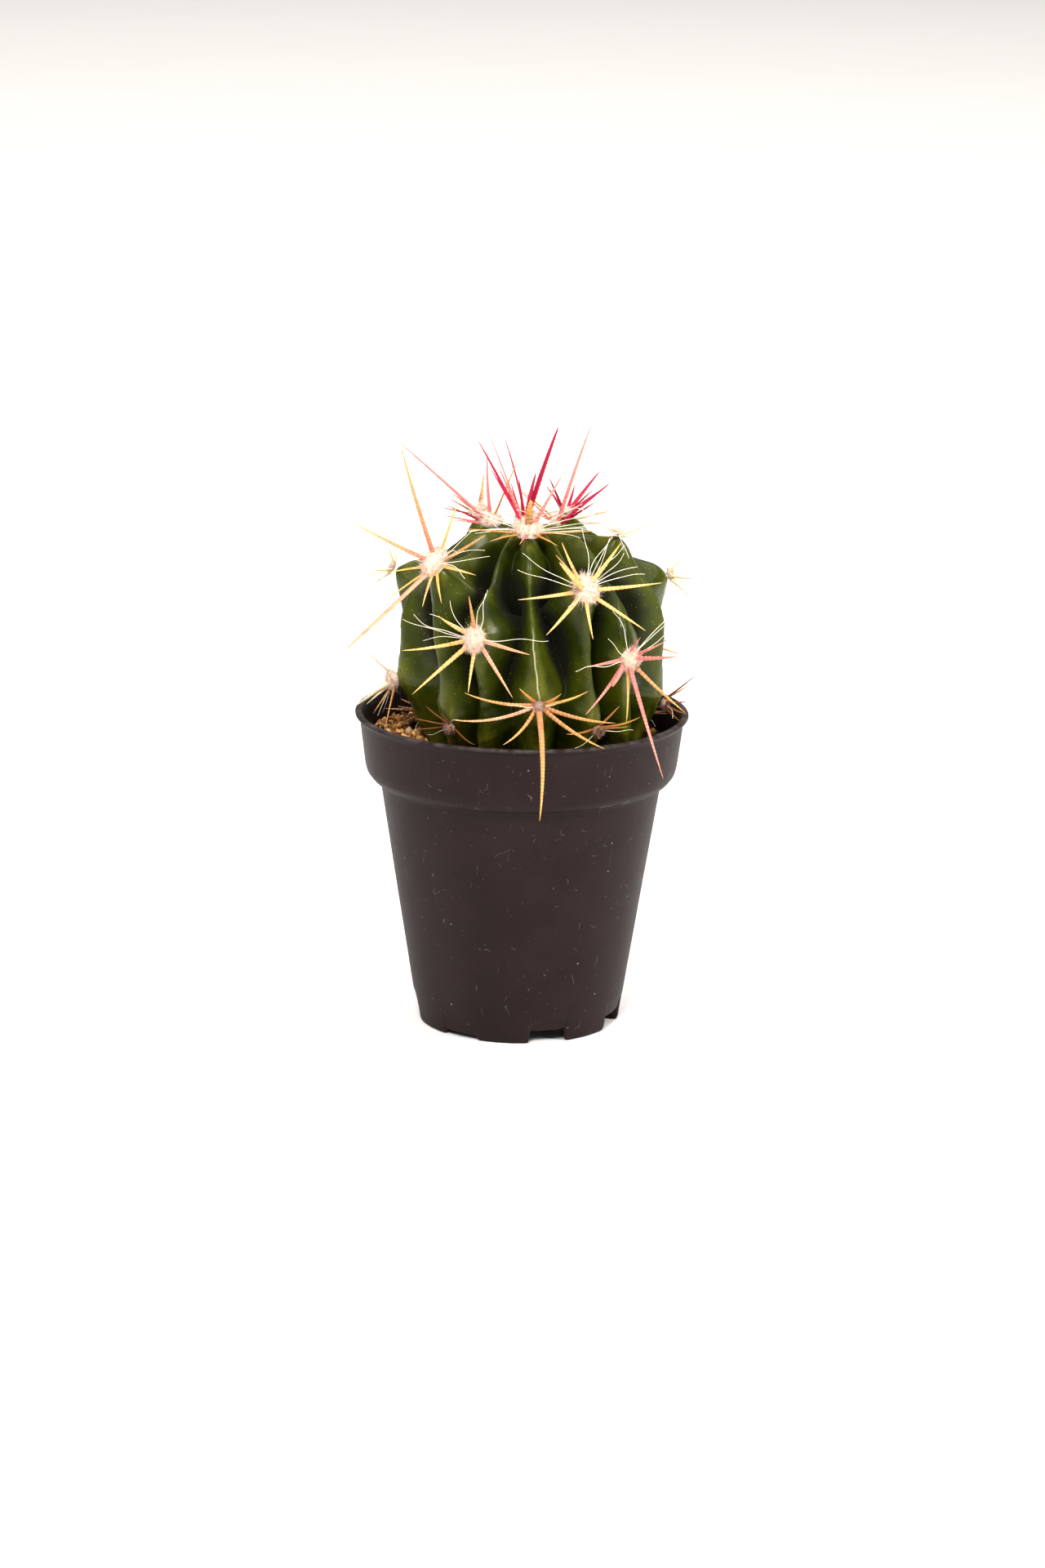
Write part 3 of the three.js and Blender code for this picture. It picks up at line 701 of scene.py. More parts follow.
# %% Spine lists
SPINES = {
    -5: [(234, 56, 15.3, 1.2, "c"), (116, 78, 8.2, 1.0, "c"), (215, 57, 9.9, 1.2, "p"),
         (237, 64, 16.7, 0.5, "p"), (204, 74, 7, 0.9, "c"), (300, 50, 8, 0.6, "c")],
    -4: [(252, 68, 15, 1.4, "c"), (156, 63, 13, 0.5, "c"), (285, 79, 7, 0.9, "c"),
         (10, 45, 8, 0.6, "p")],
    -3: [(151, 31, 10.6, 1.3, "c"), (144, 20, 7, 0.9, "c"), (157, 66, 17, 1.2, "p"),
         (345, 40, 8, 0.6, "p")],
    -2: [(170, 41, 20.5, 1.0, "p"), (354, 66, 11, 0.6, "o"), (180, 4, 8, 0.7, "p"),
         (195, 14, 7.6, 0.7, "c"), (169, 0, 6.5, 0.6, "p"), (270, 60, 12, 0.6, "p")],
    -1: [(180, 32, 10, 1.0, "c"), (150, 20, 8, 0.7, "c"), (205, 24, 8, 0.7, "c"),
         (100, 30, 6, 0.7, "c"), (255, 35, 6, 0.7, "c"), (20, 60, 6, 0.8, "c")],
    0: [(166, 62, 5.8, 1.6, "d"), (250, 4, 10.5, 0.8, "o"), (228, 0, 8, 0.7, "o", 0.14),
        (190, -3, 6, 0.6, "p", 0.2), (140, -2, 8, 0.7, "o", 0.18), (108, 2, 12, 0.8, "o"),
        (300, 52, 11.5, 0.7, "c"), (80, 57, 10.5, 1.2, "p")],
    1: [(105, 12, 7, 0.6, "b"), (158, 26, 6, 0.6, "b"), (190, 22, 9, 0.7, "p"),
        (245, 55, 7, 0.8, "o"), (225, 20, 8, 0.6, "b")],
    2: [(185, 35, 8, 0.7, "w"), (130, 12, 6, 0.6, "w"), (235, 12, 7, 0.6, "w"), (80, 16, 6, 0.6, "w"),
        (285, 16, 7, 0.6, "w"), (10, 30, 6, 0.6, "w")],
    3: [(358, 66, 20, 1.1, "r"), (236, 62, 15, 1.0, "r"), (182, 10, 23, 1.3, "s"), (200, 4, 10, 0.7, "y"),
        (215, 24, 7.5, 0.7, "y"), (162, -2, 9, 0.8, "y", 0.14), (140, -2, 9.5, 0.7, "y", 0.16),
        (96, -2, 9.5, 0.8, "y", 0.16), (60, 6, 10.5, 1.1, "o"), (12, 24, 11, 0.7, "y")],
    4: [(185, 18, 12, 1.0, "o"), (140, 20, 9, 0.8, "o"), (100, 18, 9, 0.8, "y"), (60, 22, 8, 0.7, "y"),
        (300, 20, 8, 0.7, "y"), (255, 18, 9, 0.8, "y"), (220, 16, 10, 0.8, "o")],
    5: [(286, 50, 11, 1.5, "y"), (293, 49, 12, 0.8, "s"), (335, 26, 8.5, 0.8, "y"),
        (52, 26, 9, 0.9, "y"), (105, 20, 12, 0.9, "y"), (150, 16, 12, 0.9, "y"),
        (195, 8, 9.5, 0.8, "y"), (235, 9, 12.5, 0.9, "y"), (268, 9, 13, 0.8, "y")],
    6: [(190, 40, 6, 0.7, "w"), (140, 14, 6, 0.6, "w"), (225, 14, 6, 0.6, "w"), (95, 16, 6, 0.6, "w"),
        (270, 16, 6, 0.6, "w"), (330, 22, 5, 0.6, "w"), (30, 22, 5, 0.6, "w")],
    7: [(180, 40, 4.5, 0.7, "w"), (135, 14, 6, 0.6, "w"), (220, 14, 6, 0.6, "w"), (90, 16, 5, 0.6, "w"),
        (265, 16, 5, 0.6, "w"), (325, 22, 4, 0.6, "w"), (25, 22, 4, 0.6, "w")],
    8: [(222, 26, 13, 0.9, "y"), (175, 22, 8.5, 0.8, "y"), (135, 12, 11.5, 0.9, "s"),
        (94, 10, 10.5, 0.9, "s"), (258, 22, 11.5, 0.8, "y"), (308, 26, 7, 0.9, "y"),
        (2, 24, 8.5, 0.9, "o")],
    10: [(197, 42, 21, 1.1, "p"), (60, 62, 8, 1.1, "p"), (48, 34, 6, 0.8, "p"), (246, 20, 7, 1.3, "p"),
         (239, 9, 13, 0.9, "p"), (275, 6, 10.5, 0.8, "p"), (200, 18, 10, 0.7, "y"),
         (143, 34, 12, 0.8, "o"), (355, 26, 5, 0.7, "p")],
    11: [(126, 62, 7.5, 1.1, "w"), (170, 40, 6, 0.8, "o"), (132, 18, 10, 0.8, "o"),
         (15, 24, 7, 0.7, "w"), (230, 34, 8, 0.7, "w")],
    13: [(186, 66, 23, 1.1, "o"), (93, 25, 13, 0.9, "o"), (112, 36, 13, 0.9, "o"), (48, 18, 5, 0.7, "o"),
         (64, 16, 9, 0.7, "y"), (325, 14, 5.5, 0.7, "o"), (292, 14, 13, 0.8, "o"),
         (274, 20, 14.5, 0.8, "s"), (242, 42, 9, 0.8, "o")],
    15: [(300, 30, 4.5, 0.6, "b"), (272, 38, 5, 0.6, "b"), (245, 40, 4.5, 0.6, "b"),
         (330, 14, 8, 0.6, "b"), (20, 24, 5, 0.6, "b")],
    16: [(342, 12, 6, 0.6, "b"), (325, 32, 6, 0.6, "b"), (300, 40, 5, 0.5, "b"), (86, 16, 8, 0.6, "b"),
         (50, 34, 5, 0.5, "b"), (16, 14, 5, 0.6, "b")],
    18: [(297, 12, 8, 0.7, "o"), (64, 16, 7, 0.7, "o"), (40, 40, 6, 0.6, "o"), (322, 50, 5, 0.6, "b"),
         (350, 34, 5, 0.6, "o"), (20, 14, 7, 0.6, "o")],
    20: [(300, 24, 4, 0.6, "b"), (330, 20, 5, 0.6, "b"), (0, 24, 5.5, 0.7, "b"), (30, 20, 5, 0.6, "b"),
         (65, 16, 6, 0.6, "b"), (350, 55, 4, 0.6, "b")],
}
SPINE_LIFT = 1.5
SPINE_CURL = 0.02


def typical_spines(i):
    """Seven spines round the rim and one standing out; the lowest areoles turn theirs up."""
    low = i > 13
    reach = 9 if i < 4 else 11 if i < 11 else 5 if low else 8
    tone = "c" if i < 1 else "p" if i < 4 else "o" if i < 14 else "b"
    rows = []
    for k in range(7):
        clock = (285 + 25 * k if low else 25 + 51 * k) + 8 * math.sin(7 * i + 3 * k)
        lower = 0.5 if low else 0.5 - 0.5 * math.cos(math.radians(clock))
        rows.append((clock, 20 + 7 * math.sin(5 * i + 2 * k), reach * (0.65 + 0.35 * lower), 0.8, tone))
    standing = (5, 52) if low else (180 + 14 * math.sin(i), 78 if i > 10 else 66)
    rows.append((*standing, reach * (1.2 if low else 1.85), 0.9 if low else 1.3, tone))
    return rows


def areole_frame(i):
    """Origin on the skin at areole i, and directions: right, up towards the crown, and out."""
    rib, arc = rib_of(i), arc_of(i) + SLIP.get(i, 0)
    origin = skin(rib, arc)
    up = unit(skin(rib, arc - 0.6) - skin(rib, arc + 0.6))
    right = skin(rib + 0.06, arc) - skin(rib - 0.06, arc)
    right = unit(right - up * np.dot(right, up))
    return origin, np.stack([right, up, np.cross(right, up)])


def spine_rows(i):
    """The rows of areole i, each with its curl."""
    return [row if len(row) == 6 else (*row, SPINE_CURL) for row in SPINES.get(i, typical_spines(i))]


AREOLES = range(FIRST_AREOLE, LAST_AREOLE + 1)
print("stout spines:", sum(len(spine_rows(i)) for i in AREOLES))

# %% [markdown]
# Every spine of one areole is made in the same call, as one bundle of tubes. The rings are real
# ridges in the mesh, some 0.7 mm apart, so they also show in the outline of the thick spines. The
# colour runs along the spine from root to tip and is kept on the points.

# %% Spine clusters
ROOT_COLOURS = {
    "c": (0.46, 0.000, 0.050), "p": (0.62, 0.120, 0.150), "r": (0.50, 0.085, 0.060),
    "s": (0.66, 0.32, 0.25), "o": (0.40, 0.16, 0.060), "y": (0.66, 0.40, 0.13),
    "w": (0.85, 0.72, 0.46), "b": (0.17, 0.055, 0.02), "d": (0.16, 0.022, 0.012),
}
TIP_COLOURS = {
    "c": (0.38, 0.000, 0.050), "p": (0.68, 0.24, 0.19), "r": (0.74, 0.44, 0.13),
    "s": (0.72, 0.35, 0.15), "o": (0.62, 0.34, 0.075), "y": (0.76, 0.49, 0.15),
    "w": (0.88, 0.78, 0.55), "b": (0.34, 0.15, 0.045), "d": (0.68, 0.38, 0.08),
}
SPINE_STEPS = 64
SPINE_CORNERS = 8
ROOT_OFFSET = 1.0
ROOT_LIFT = 0.35
SAG = 0.015
LOW_SAG = 0.055
RING_PITCH = 0.72
RING_HEIGHT = 0.09
RINGED_FROM = 0.75
BLADE_FROM = 1.25
SPINE_FLATNESS = 0.6
BLADE_FLATNESS = 0.45


def spine_paths(rows, sag, random):
    """Centre lines in the areole's frame. A spine starts beside the cushion's middle and runs
    straight to its tip, less a bend towards the skin that grows with the square of the distance.
    Its middle sways to one side and sags, each by a few hundredths of its length. Also the
    sideways directions."""
    clock, tilt, length, curl = np.array([(row[0], row[1], row[2], row[5]) for row in rows]).T[:, :, None]
    c, t = np.radians(clock), np.radians(tilt)
    along = np.concatenate([np.cos(t) * np.sin(c), np.cos(t) * np.cos(c), np.sin(t)], -1)[:, None]
    sideways = np.concatenate([np.cos(c), -np.sin(c), 0 * c], -1)
    across = np.cross(sideways, along[:, 0])[:, None]
    share = np.linspace(0, 1, SPINE_STEPS)[None, :, None]
    length, curl = length[:, None], curl[:, None]
    start = along * ROOT_OFFSET + [0, 0, ROOT_LIFT]
    end = along * length + [0, 0, SPINE_LIFT]
    sway = random.uniform(-0.02, 0.02, (len(rows), 1, 1)) + sag * np.sin(c)[:, None]
    bend = sideways[:, None] * sway * -4 * share * (share - 1)
    return start + (end - start) * share + (bend - across * curl * share ** 2) * length, sideways


def spine_cluster(i, number):
    """The spines of areole i. Half the width is the root's, times a taper that is a power of the
    distance left to the tip, times the rings. A spine over BLADE_FROM wide is a flat, blunter blade,
    and one under RINGED_FROM wide has no rings."""
    rows = spine_rows(i)
    origin, axes = areole_frame(i)
    sag = LOW_SAG if i > LAST_WOOLLY else SAG
    paths, sideways = spine_paths(rows, sag, np.random.default_rng(100 + i))
    share = np.linspace(0, 1, SPINE_STEPS)[None]
    length = np.array([row[2] for row in rows])[:, None]
    width = np.array([row[3] for row in rows])[:, None]
    blade, has_rings = width > BLADE_FROM, width > RINGED_FROM
    taper = 0.92 * (1 - share) ** np.where(blade, 0.5, 0.72) * (1 + 0.2 * share)
    rings = 1 + RING_HEIGHT * np.sin(TURN * share * length / RING_PITCH) * has_rings * (share < 0.9)
    half = 0.5 * width * taper * rings + 0.015
    flat = np.where(blade, BLADE_FLATNESS, SPINE_FLATNESS)
    points, quads, triangles, tube, along = tubes(
        paths @ axes + origin, sideways @ axes, half, half * flat, SPINE_CORNERS)
    cluster = add_piece(f"spine_cluster_{number}", points, quads, triangles)
    root = np.array([ROOT_COLOURS[row[4]] for row in rows])[tube]
    tip = np.array([TIP_COLOURS[row[4]] for row in rows])[tube]
    blend = along[:, None] ** 0.8
    store_colour(cluster, "tint", root * (1 - blend) + tip * blend)
    paleness = np.array([0.1 if row[4] == "c" else 1 for row in rows])[tube]
    ringed = (0.5 + 0.5 * np.sin(TURN * along * length[tube, 0] / RING_PITCH)) * has_rings[tube, 0]
    store_number(cluster, "rings", ringed * paleness)
    slot = "spine_crimson" if i < 0 else "spine_brown" if i > 13 else "spine_yellow"
    finished(cluster, horn, slot, f"spines_{number}")


def horn_finish():
    horny = Finish("ringed_horn", Specular_IOR_Level=0.35)
    tint, rings = horny.colour("tint"), horny.number("rings")
    shaded = horny.mix(rings * 0.30, tint, (0.84, 0.60, 0.42))
    mottled = horny.mix(horny.noise(1.0, 3).between(0.45, 0.75) * 0.35, shaded, (0.24, 0.05, 0.015))
    return horny.use(Base_Color=mottled, Roughness=0.40 + horny.noise(0.8, 2) * 0.15)


horn = horn_finish()
for number, areole in enumerate(AREOLES, 1):
    spine_cluster(areole, f"{number:02d}")

# %% [markdown]
# ## Wool
#
# Plant wool is a dense felt of short hairs. Each cushion has a solid felted core, which no light
# gets through, and well over a thousand single hairs that stand off it in all directions. They are
# three-sided tubes of a few faces, made for a whole cushion at once. Old areoles have lost most of
# their wool, and what is left is a small grey pad.

# %% Wool cushions
WOOL_LIFT = 0.8
CORE_SHARE = 0.90
HAIR_ROOT_SHARE = 0.84
HAIR_LENGTH_SHARE = 0.42
HAIR_HALF_WIDTH = 0.031
WOOL_HAIRS = 2200
FELT_HAIRS = 260


def cushion_size(i):
    """Half width, half height along the rib, and thickness of the wool of areole i."""
    sizes = {-3: (0.9, 0.9, 0.5), -2: (2.3, 1.9, 1.2), -1: (1.0, 1.0, 0.6), 0: (2.5, 2.1, 1.7),
             2: (1.0, 1.1, 0.6), 3: (1.7, 3.1, 1.9), 5: (2.3, 2.6, 1.0), 6: (1.0, 1.1, 0.5),
             7: (1.0, 1.1, 0.5), 8: (1.6, 2.3, 1.8), 10: (1.8, 1.9, 1.3), 11: (1.5, 1.8, 1.2)}
    usual = (1.8, 2.0, 1.4) if i <= LAST_WOOLLY else (1.2, 1.2, 0.9)
    return np.array(sizes.get(i, usual))


def felt_core(size):
    """An ellipsoid round a point just over the skin, as a wrapped grid with both poles."""
    rows, columns = 9, 18
    polar = math.pi * np.arange(1, rows + 1)[:, None] / (rows + 1)
    azimuth = TURN * np.arange(columns)[None] / columns
    grid = np.stack([np.sin(polar) * np.cos(azimuth), np.sin(polar) * np.sin(azimuth),
                     np.cos(polar) + 0 * azimuth], -1).reshape(-1, 3)
    ball = np.vstack([[[0, 0, 1]], grid, [[0, 0, -1]]])
    return ball * size * CORE_SHARE + [0, 0, WOOL_LIFT], wrapped_faces(rows, columns)


def wool_hairs(size, count, seed):
    """Curved hairs that start on the core and stand off it: out along the core's normal, with a
    random lean, and a droop that grows with the square of the distance."""
    random = np.random.default_rng(seed)
    normal = unit(random.normal(size=(count, 3)) * [1, 1, 0.9])
    normal[:, 2] = np.where(normal[:, 2] < -0.15, -normal[:, 2], normal[:, 2])
    root = normal * size * HAIR_ROOT_SHARE + [0, 0, WOOL_LIFT]
    lean = unit(normal + 0.65 * random.normal(size=(count, 3)))
    length = random.uniform(0.3, 1.0, (count, 1, 1)) ** 2 * size.mean() * HAIR_LENGTH_SHARE
    share = np.linspace(0, 1, 3)[None, :, None]
    drift = 0.5 * random.normal(size=(count, 1, 3))
    paths = root[:, None] + lean[:, None] * length * share + drift * length * share ** 2
    thick = HAIR_HALF_WIDTH * (1 - 0.6 * np.linspace(0, 1, 3))[None] * np.ones((count, 1))
    return paths, unit(np.cross(lean, [0.3, 0.5, 0.8])), thick


def wool_cushion(i, number):
    """Core and hairs of areole i, as one piece."""
    origin, axes = areole_frame(i)
    size = cushion_size(i)
    woolly = i <= LAST_WOOLLY
    core, (core_quads, core_triangles) = felt_core(size)
    paths, side, thick = wool_hairs(size, WOOL_HAIRS if woolly else FELT_HAIRS, 40 + i)
    hairs, quads, triangles = tubes(paths, side, thick, thick, 3)[:3]
    points = np.vstack([core, hairs]) @ axes + origin
    cushion = add_piece(
        f"wool_cushion_{number}" if woolly else f"felt_pad_{number}", points,
        np.vstack([core_quads, quads + len(core)]), np.vstack([core_triangles, triangles + len(core)]))
    finished(cushion, wool if woolly else felt, "wool", *([f"wool_{number}"] if woolly else []))


def wool_finish(name, light, dark):
    woolly = Finish(name, Roughness=0.95, Specular_IOR_Level=0.2, Sheen_Weight=0.3, Sheen_Roughness=0.5)
    tufts = woolly.noise(0.6, 3)
    return woolly.use(Base_Color=woolly.mix(tufts.between(0.3, 0.65), dark, light))


wool = wool_finish("cream_wool", (0.90, 0.80, 0.70), (0.80, 0.55, 0.43))
felt = wool_finish("old_grey_felt", (0.40, 0.27, 0.22), (0.18, 0.11, 0.08))
for number, areole in enumerate(AREOLES, 1):
    wool_cushion(areole, f"{number:02d}")

# %% [markdown]
# ## White bristles
#
# Round the stout spines grow thin white bristles, bent and curly like stray hairs. They are too
# thin for the CAD model, so this piece stands for nothing in it. A bristle leaves its areole at a
# clock angle and a tilt, bows to one side, and waves a little on its way. Those of the front
# areoles are listed; the others are drawn at random, to both sides.

# %% Bristle lists
BRISTLES = {
    0: [(97, 6, 14.5, 0.06), (101, 12, 13, -0.05), (93, 20, 12.5, 0.08), (108, 10, 12.5, -0.12),
        (113, 4, 9, 0.10), (86, 28, 9, 0.05), (122, 8, 10, -0.16), (262, 8, 10, -0.05),
        (256, 14, 9, 0.08), (268, 20, 8, 0.04), (248, 6, 8.5, -0.10), (275, 26, 9, 0.12)],
    3: [(84, 4, 10.7, -0.07), (71, 12, 10, 0.08), (60, 20, 8, -0.14), (35, 30, 8.5, 0.06),
        (76, 24, 7, 0.22), (48, 34, 5.5, 0.30), (98, 6, 8, 0.12), (262, 20, 6, 0.1)],
    5: [(305, 10, 11, 0.06), (293, 8, 11, 0.05), (232, 24, 4.8, 0.10), (82, 10, 10, 0.10),
        (76, 22, 9, 0.07), (65, 12, 8.7, -0.08), (52, 16, 9, 0.12), (45, 24, 9, -0.08),
        (40, 14, 9.8, 0.10), (18, 20, 9.2, -0.14), (30, 30, 8, 0.16)],
    8: [(84, 12, 12.3, -0.06), (276, 12, 11.6, 0.09), (281, 18, 10, 0.10), (266, 8, 8.5, -0.08),
        (306, 22, 7.5, -0.20), (314, 16, 6.5, 0.22), (13, 22, 9.3, 0.10), (21, 14, 7.5, -0.16)],
    10: [(303, 20, 8, 0.10), (272, 10, 12.5, 0.06), (336, 14, 10, -0.08), (33, 26, 11.5, 0.08),
         (50, 30, 8, -0.10), (42, 20, 9, 0.14)],
    11: [(8, 20, 7.5, 0.10), (345, 30, 7, -0.08), (28, 26, 6, 0.12), (200, 30, 7, 0.16),
         (160, 40, 6, -0.10)],
    13: [(285, 24, 5, 0.10), (75, 20, 5, -0.12)],
}
BRISTLE_STEPS = 24
BRISTLE_HALF_WIDTH = 0.068


def typical_bristles(i, random):
    """A few to the left and right of an areole; young areoles have more, and longer ones."""
    count = 5 if i < 0 else 7 if i <= LAST_WOOLLY else 2
    side = np.where(np.arange(count) % 2, 1, -1)
    clock = side * random.uniform(35, 115, count)
    length = random.uniform(5, 10 if i <= LAST_WOOLLY else 5.5, count)
    tilt = random.uniform(4, 30, count)
    return np.column_stack([clock, tilt, length, random.uniform(-0.15, 0.15, count)])


def bristle_bundle(i):
    """Centre lines, sideways directions and half widths of one areole's bristles. A line is a
    straight run, plus a sideways bow that grows with the square of the distance, plus a sine."""
    random = np.random.default_rng(300 + i)
    rows = np.array(BRISTLES[i] if i in BRISTLES else typical_bristles(i, random))
    clock, tilt, length, bow = rows.T[:, :, None]
    clock, tilt = np.radians(clock), np.radians(tilt)
    along = np.concatenate([np.cos(tilt) * np.sin(clock), np.cos(tilt) * np.cos(clock), np.sin(tilt)], -1)
    sideways = np.concatenate([np.cos(clock), -np.sin(clock), 0 * clock], -1)
    share = np.linspace(0, 1, BRISTLE_STEPS)[None, :, None]
    turns = random.uniform(0.6, 1.4, (len(rows), 1, 1))
    wave = random.uniform(0.015, 0.055, (len(rows), 1, 1)) * np.sin(
        TURN * (share * turns + random.uniform(0, 1, (len(rows), 1, 1)))) * share
    sag = random.uniform(0.0, 0.22, (len(rows), 1, 1)) * share ** 2
    aside = sideways[:, None] * (bow[:, None] * (share ** 2 - 0.5 * share) * 2 + wave)
    paths = length[:, None] * (along[:, None] * share + aside - sag * [0, 0, 1])
    paths = paths + along[:, None] * 0.9 + [0, 0, 0.6]
    half = BRISTLE_HALF_WIDTH * (1 - 0.5 * np.linspace(0, 1, BRISTLE_STEPS))[None] * np.ones((len(rows), 1))
    origin, axes = areole_frame(i)
    return paths @ axes + origin, sideways @ axes, half


bundles = [bristle_bundle(i) for i in AREOLES]
paths, sides, halves = (np.concatenate(part) for part in zip(*bundles))
bristles = add_piece("white_bristles", *tubes(paths, sides, halves, halves, 5)[:3])


def bristle_finish():
    pale = Finish("pale_bristle", Roughness=0.45)
    return pale.use(Base_Color=pale.mix(pale.noise(3, 2), (0.97, 0.88, 0.70), (1.0, 0.95, 0.84)))


finished(bristles, bristle_finish(), "wool")
print("bristles:", len(paths))

# %% [markdown]
# ## Soil and grit
#
# The pot is filled with peat to a few millimetres under its lip. The plug is a wrapped grid again:
# a lumpy top that dips under the stem, then down along the pot's wall and in under it. Loose grains
# lie on it: a rough twenty-sided ball, stretched, turned and coloured anew for each grain.

# %% Soil plug
SOIL_COLUMNS = 300
SOIL_ROWS = 90
SOIL_INNER = 0.4
SOIL_OUTER = 24.9
MOUND_HEIGHT = 2.3
MOUND_PLACE = math.radians(-75)
soil_wall = np.array([
    (24.7, 45.5), (24.3, 43.7), (21.9, 40.9), (21.8, 39), (16.4, 5.2), (15.9, 3.7), (8, 3.7),
])


def soil_surface():
    """Rings of the lumpy top from the middle outwards, then rings down the wall. The top dips to a
    cup round the root, whose depth goes with the distance from the stem's own axis."""
    azimuth = TURN * np.arange(SOIL_COLUMNS)[None] / SOIL_COLUMNS
    radius = np.linspace(SOIL_INNER, SOIL_OUTER, SOIL_ROWS)[:, None]
    x, y = radius * np.sin(azimuth), -radius * np.cos(azimuth)
    flat = np.stack([x, y, 0 * x], -1)
    lumps = 0.45 * ripples(flat, 7, 5) + 0.35 * ripples(flat, 2.2, 6) + 0.18 * ripples(flat, 1.0, 7)
    cup = np.interp(np.hypot(x - STEM_OFFSET, y), [0, 8, 12.5, 15], [35.2, 36.6, 40.5, 46.4])
    towards = np.clip(np.cos(azimuth - MOUND_PLACE), 0, 1) ** 2
    mound = MOUND_HEIGHT * np.clip((radius - 16) / 6, 0, 1) * towards
    top = np.minimum(46.4 + lumps, cup + lumps * 0.4) + mound
    wall = np.stack([soil_wall[:, :1] * np.sin(azimuth), -soil_wall[:, :1] * np.cos(azimuth),
                     soil_wall[:, 1:] + 0 * azimuth], -1)
    return np.concatenate([np.stack([x, y, top], -1), wall])


soil_grid = soil_surface()
soil_points = np.vstack([[[0, 0, 35.2]], soil_grid.reshape(-1, 3), [[0, 0, 3.7]]])
soil = add_piece("peat_plug", soil_points, *wrapped_faces(len(soil_grid), SOIL_COLUMNS))


def peat_finish():
    peat = Finish("damp_peat", Roughness=0.95, Specular_IOR_Level=0.2)
    crumbs = peat.noise(1.2, 5)
    bits = peat.cells(0.9).between(0.15, 0.5)
    brown = peat.mix(crumbs.between(0.35, 0.7), (0.012, 0.006, 0.003), (0.085, 0.040, 0.016))
    colour = peat.mix((1 - bits) * crumbs.between(0.5, 0.62), brown, (0.30, 0.15, 0.05))
    return peat.use(Base_Color=colour, Normal=peat.bump(crumbs + bits * 0.4, 0.9, 0.5))


finished(soil, peat_finish(), "soil", "potting_soil")

# %% Loose grains
GOLDEN = (1 + math.sqrt(5)) / 2
BALL_POINTS = unit(np.array([
    (-1, GOLDEN, 0), (1, GOLDEN, 0), (-1, -GOLDEN, 0), (1, -GOLDEN, 0), (0, -1, GOLDEN), (0, 1, GOLDEN),
    (0, -1, -GOLDEN), (0, 1, -GOLDEN), (GOLDEN, 0, -1), (GOLDEN, 0, 1), (-GOLDEN, 0, -1), (-GOLDEN, 0, 1),
]))
BALL_FACES = np.array([
    (0, 11, 5), (0, 5, 1), (0, 1, 7), (0, 7, 10), (0, 10, 11), (1, 5, 9), (5, 11, 4), (11, 10, 2),
    (10, 7, 6), (7, 1, 8), (3, 9, 4), (3, 4, 2), (3, 2, 6), (3, 6, 8), (3, 8, 9), (4, 9, 5),
    (2, 4, 11), (6, 2, 10), (8, 6, 7), (9, 8, 1),
])
GRAIN_COLOURS = np.array([
    (0.56, 0.27, 0.080), (0.80, 0.46, 0.17), (0.34, 0.15, 0.045), (0.04, 0.018, 0.007),
    (0.10, 0.04, 0.013), (0.78, 0.55, 0.30),
])


def grains(name, centres, sizes, colour_numbers, seed):
    """One mesh of rough balls. A grain's point is the ball's point, pushed in or out at random,
    scaled three ways, turned by a random rotation and moved to its place."""
    random = np.random.default_rng(seed)
    count = len(centres)
    rough = random.uniform(0.72, 1.18, (count, 12, 1))
    shape = random.uniform(0.55, 1.25, (count, 1, 3)) * sizes[:, None, None]
    turns = np.linalg.qr(random.normal(size=(count, 3, 3)))[0]
    turns = turns * np.sign(np.linalg.det(turns))[:, None, None]
    points = np.einsum("npi,nij->npj", BALL_POINTS * rough * shape, turns) + centres[:, None]
    faces = BALL_FACES[None] + 12 * np.arange(count)[:, None, None]
    piece = add_piece(name, points.reshape(-1, 3), [], faces)
    shade = random.uniform(0.75, 1.2, (count, 1))
    store_colour(piece, "tint", np.repeat(GRAIN_COLOURS[colour_numbers] * shade, 12, axis=0).clip(0, 1))
    return piece


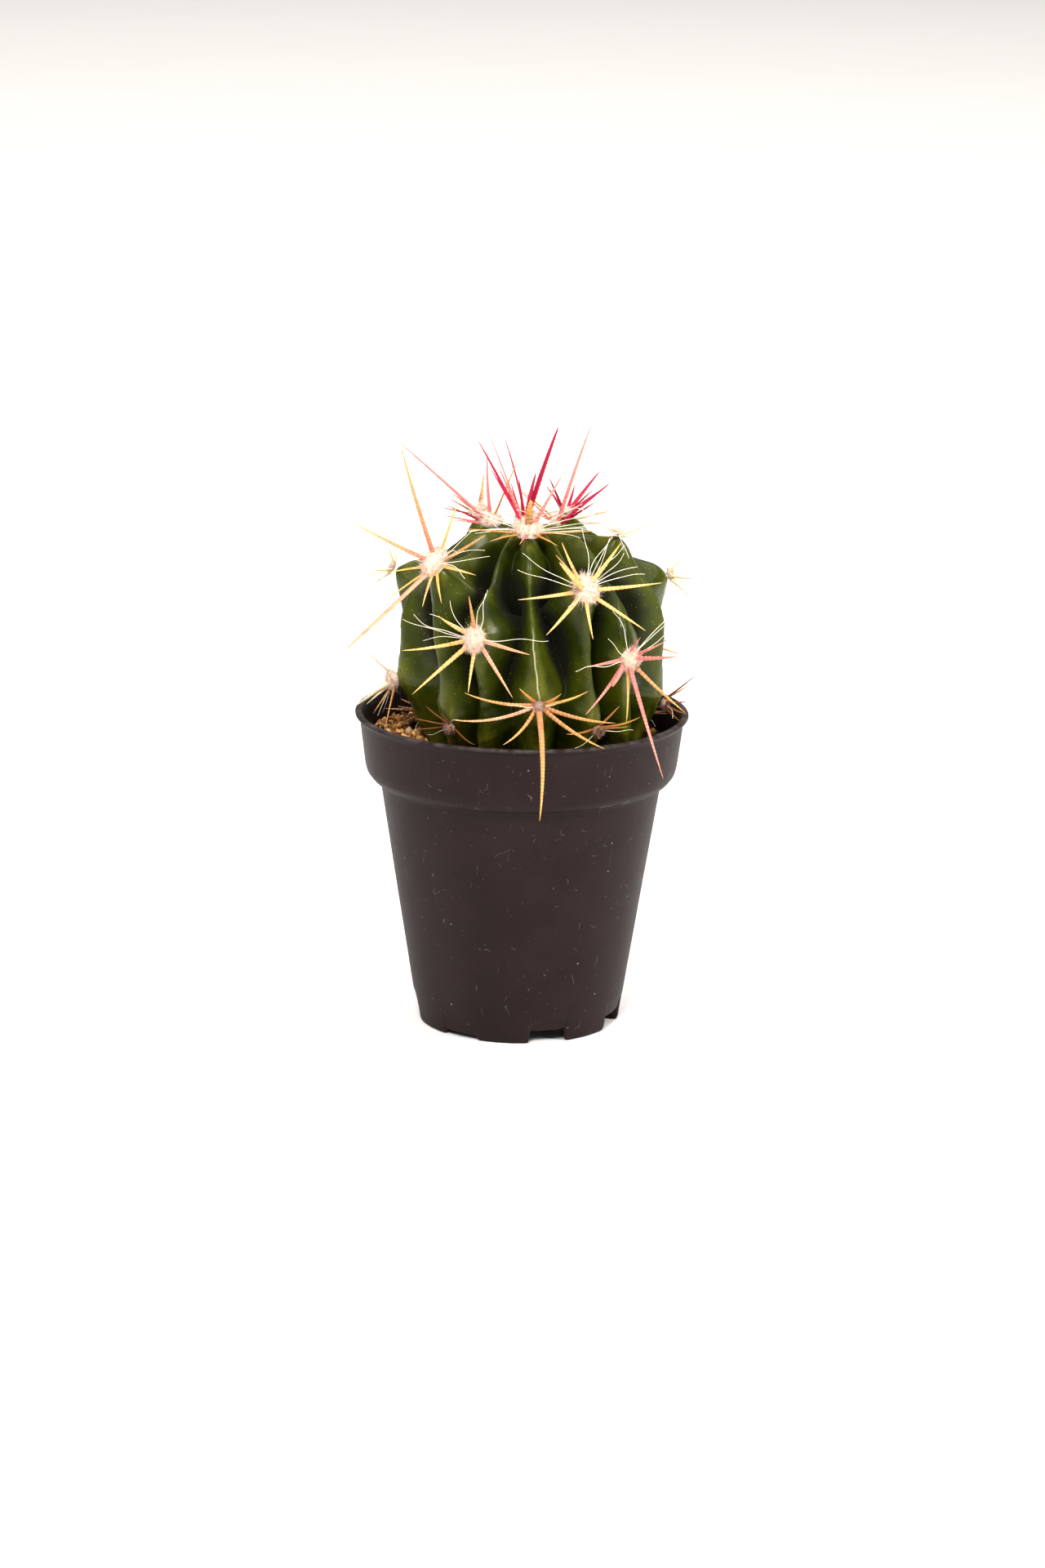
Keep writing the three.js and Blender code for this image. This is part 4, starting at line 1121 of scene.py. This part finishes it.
def soil_height(x, y):
    """Height of the plug's top at a place, from its nearest grid point."""
    azimuth = np.mod(np.arctan2(x, -y), TURN)
    column = np.round(azimuth / TURN * SOIL_COLUMNS).astype(int) % SOIL_COLUMNS
    share = (np.hypot(x, y) - SOIL_INNER) / (SOIL_OUTER - SOIL_INNER)
    row = np.round(share * (SOIL_ROWS - 1)).astype(int).clip(0, SOIL_ROWS - 1)
    return soil_grid[row, column, 2]


def scattered_grains(count):
    """Places in the ring between stem and wall, with more and paler grains to the front left."""
    random = np.random.default_rng(11)
    azimuth = random.uniform(0, TURN, count)
    radius = 24.6 * np.sqrt(random.uniform(0.34, 1, count))
    x, y = radius * np.sin(azimuth), -radius * np.cos(azimuth)
    outside = np.hypot(x - STEM_OFFSET, y) > 14.5
    size = 0.14 + 0.75 * random.uniform(0, 1, count) ** 3
    pale = random.uniform(size=count) < np.where(x < -4, 0.7, 0.4)
    number = np.where(pale, random.choice([0, 1, 2, 5], count, p=[0.4, 0.3, 0.25, 0.05]),
                      random.choice([3, 4], count))
    centres = np.column_stack([x, y, soil_height(x, y) + size * 0.35])
    return centres[outside], size[outside], number[outside]


def grain_finish():
    rock = Finish("dull_grain", Roughness=0.85, Specular_IOR_Level=0.25)
    crumbs = rock.noise(0.6, 4)
    colour = rock.mix(crumbs.between(0.35, 0.75) * 0.6, rock.colour("tint"), (0.05, 0.025, 0.012))
    return rock.use(Base_Color=colour, Normal=rock.bump(crumbs, 0.7, 0.25))


grain_material = grain_finish()
finished(grains("fine_grains", *scattered_grains(5200), 12), grain_material, "grit")

GRIT = np.array([
    (-62, 24.2, 1.1), (-50, 22.8, 1.4), (-38, 24, 1.0), (-74, 22.6, 1.2), (-24, 24.1, 1.0),
    (8, 24, 0.9), (150, 23.6, 1.2), (215, 23.8, 1.1),
])
grit_azimuth = np.radians(GRIT[:, 0])
grit_centres = np.column_stack([
    GRIT[:, 1] * np.sin(grit_azimuth), -GRIT[:, 1] * np.cos(grit_azimuth), SOIL_LEVEL + 0.5 * GRIT[:, 2],
])
large = grains("coarse_grit", grit_centres, GRIT[:, 2] * 0.95, np.array([0, 1, 0, 2, 1, 5, 0, 1]), 13)
finished(large, grain_material, "grit", *[f"grit_{k}" for k in range(1, 9)])
print("soil and grit are in place")
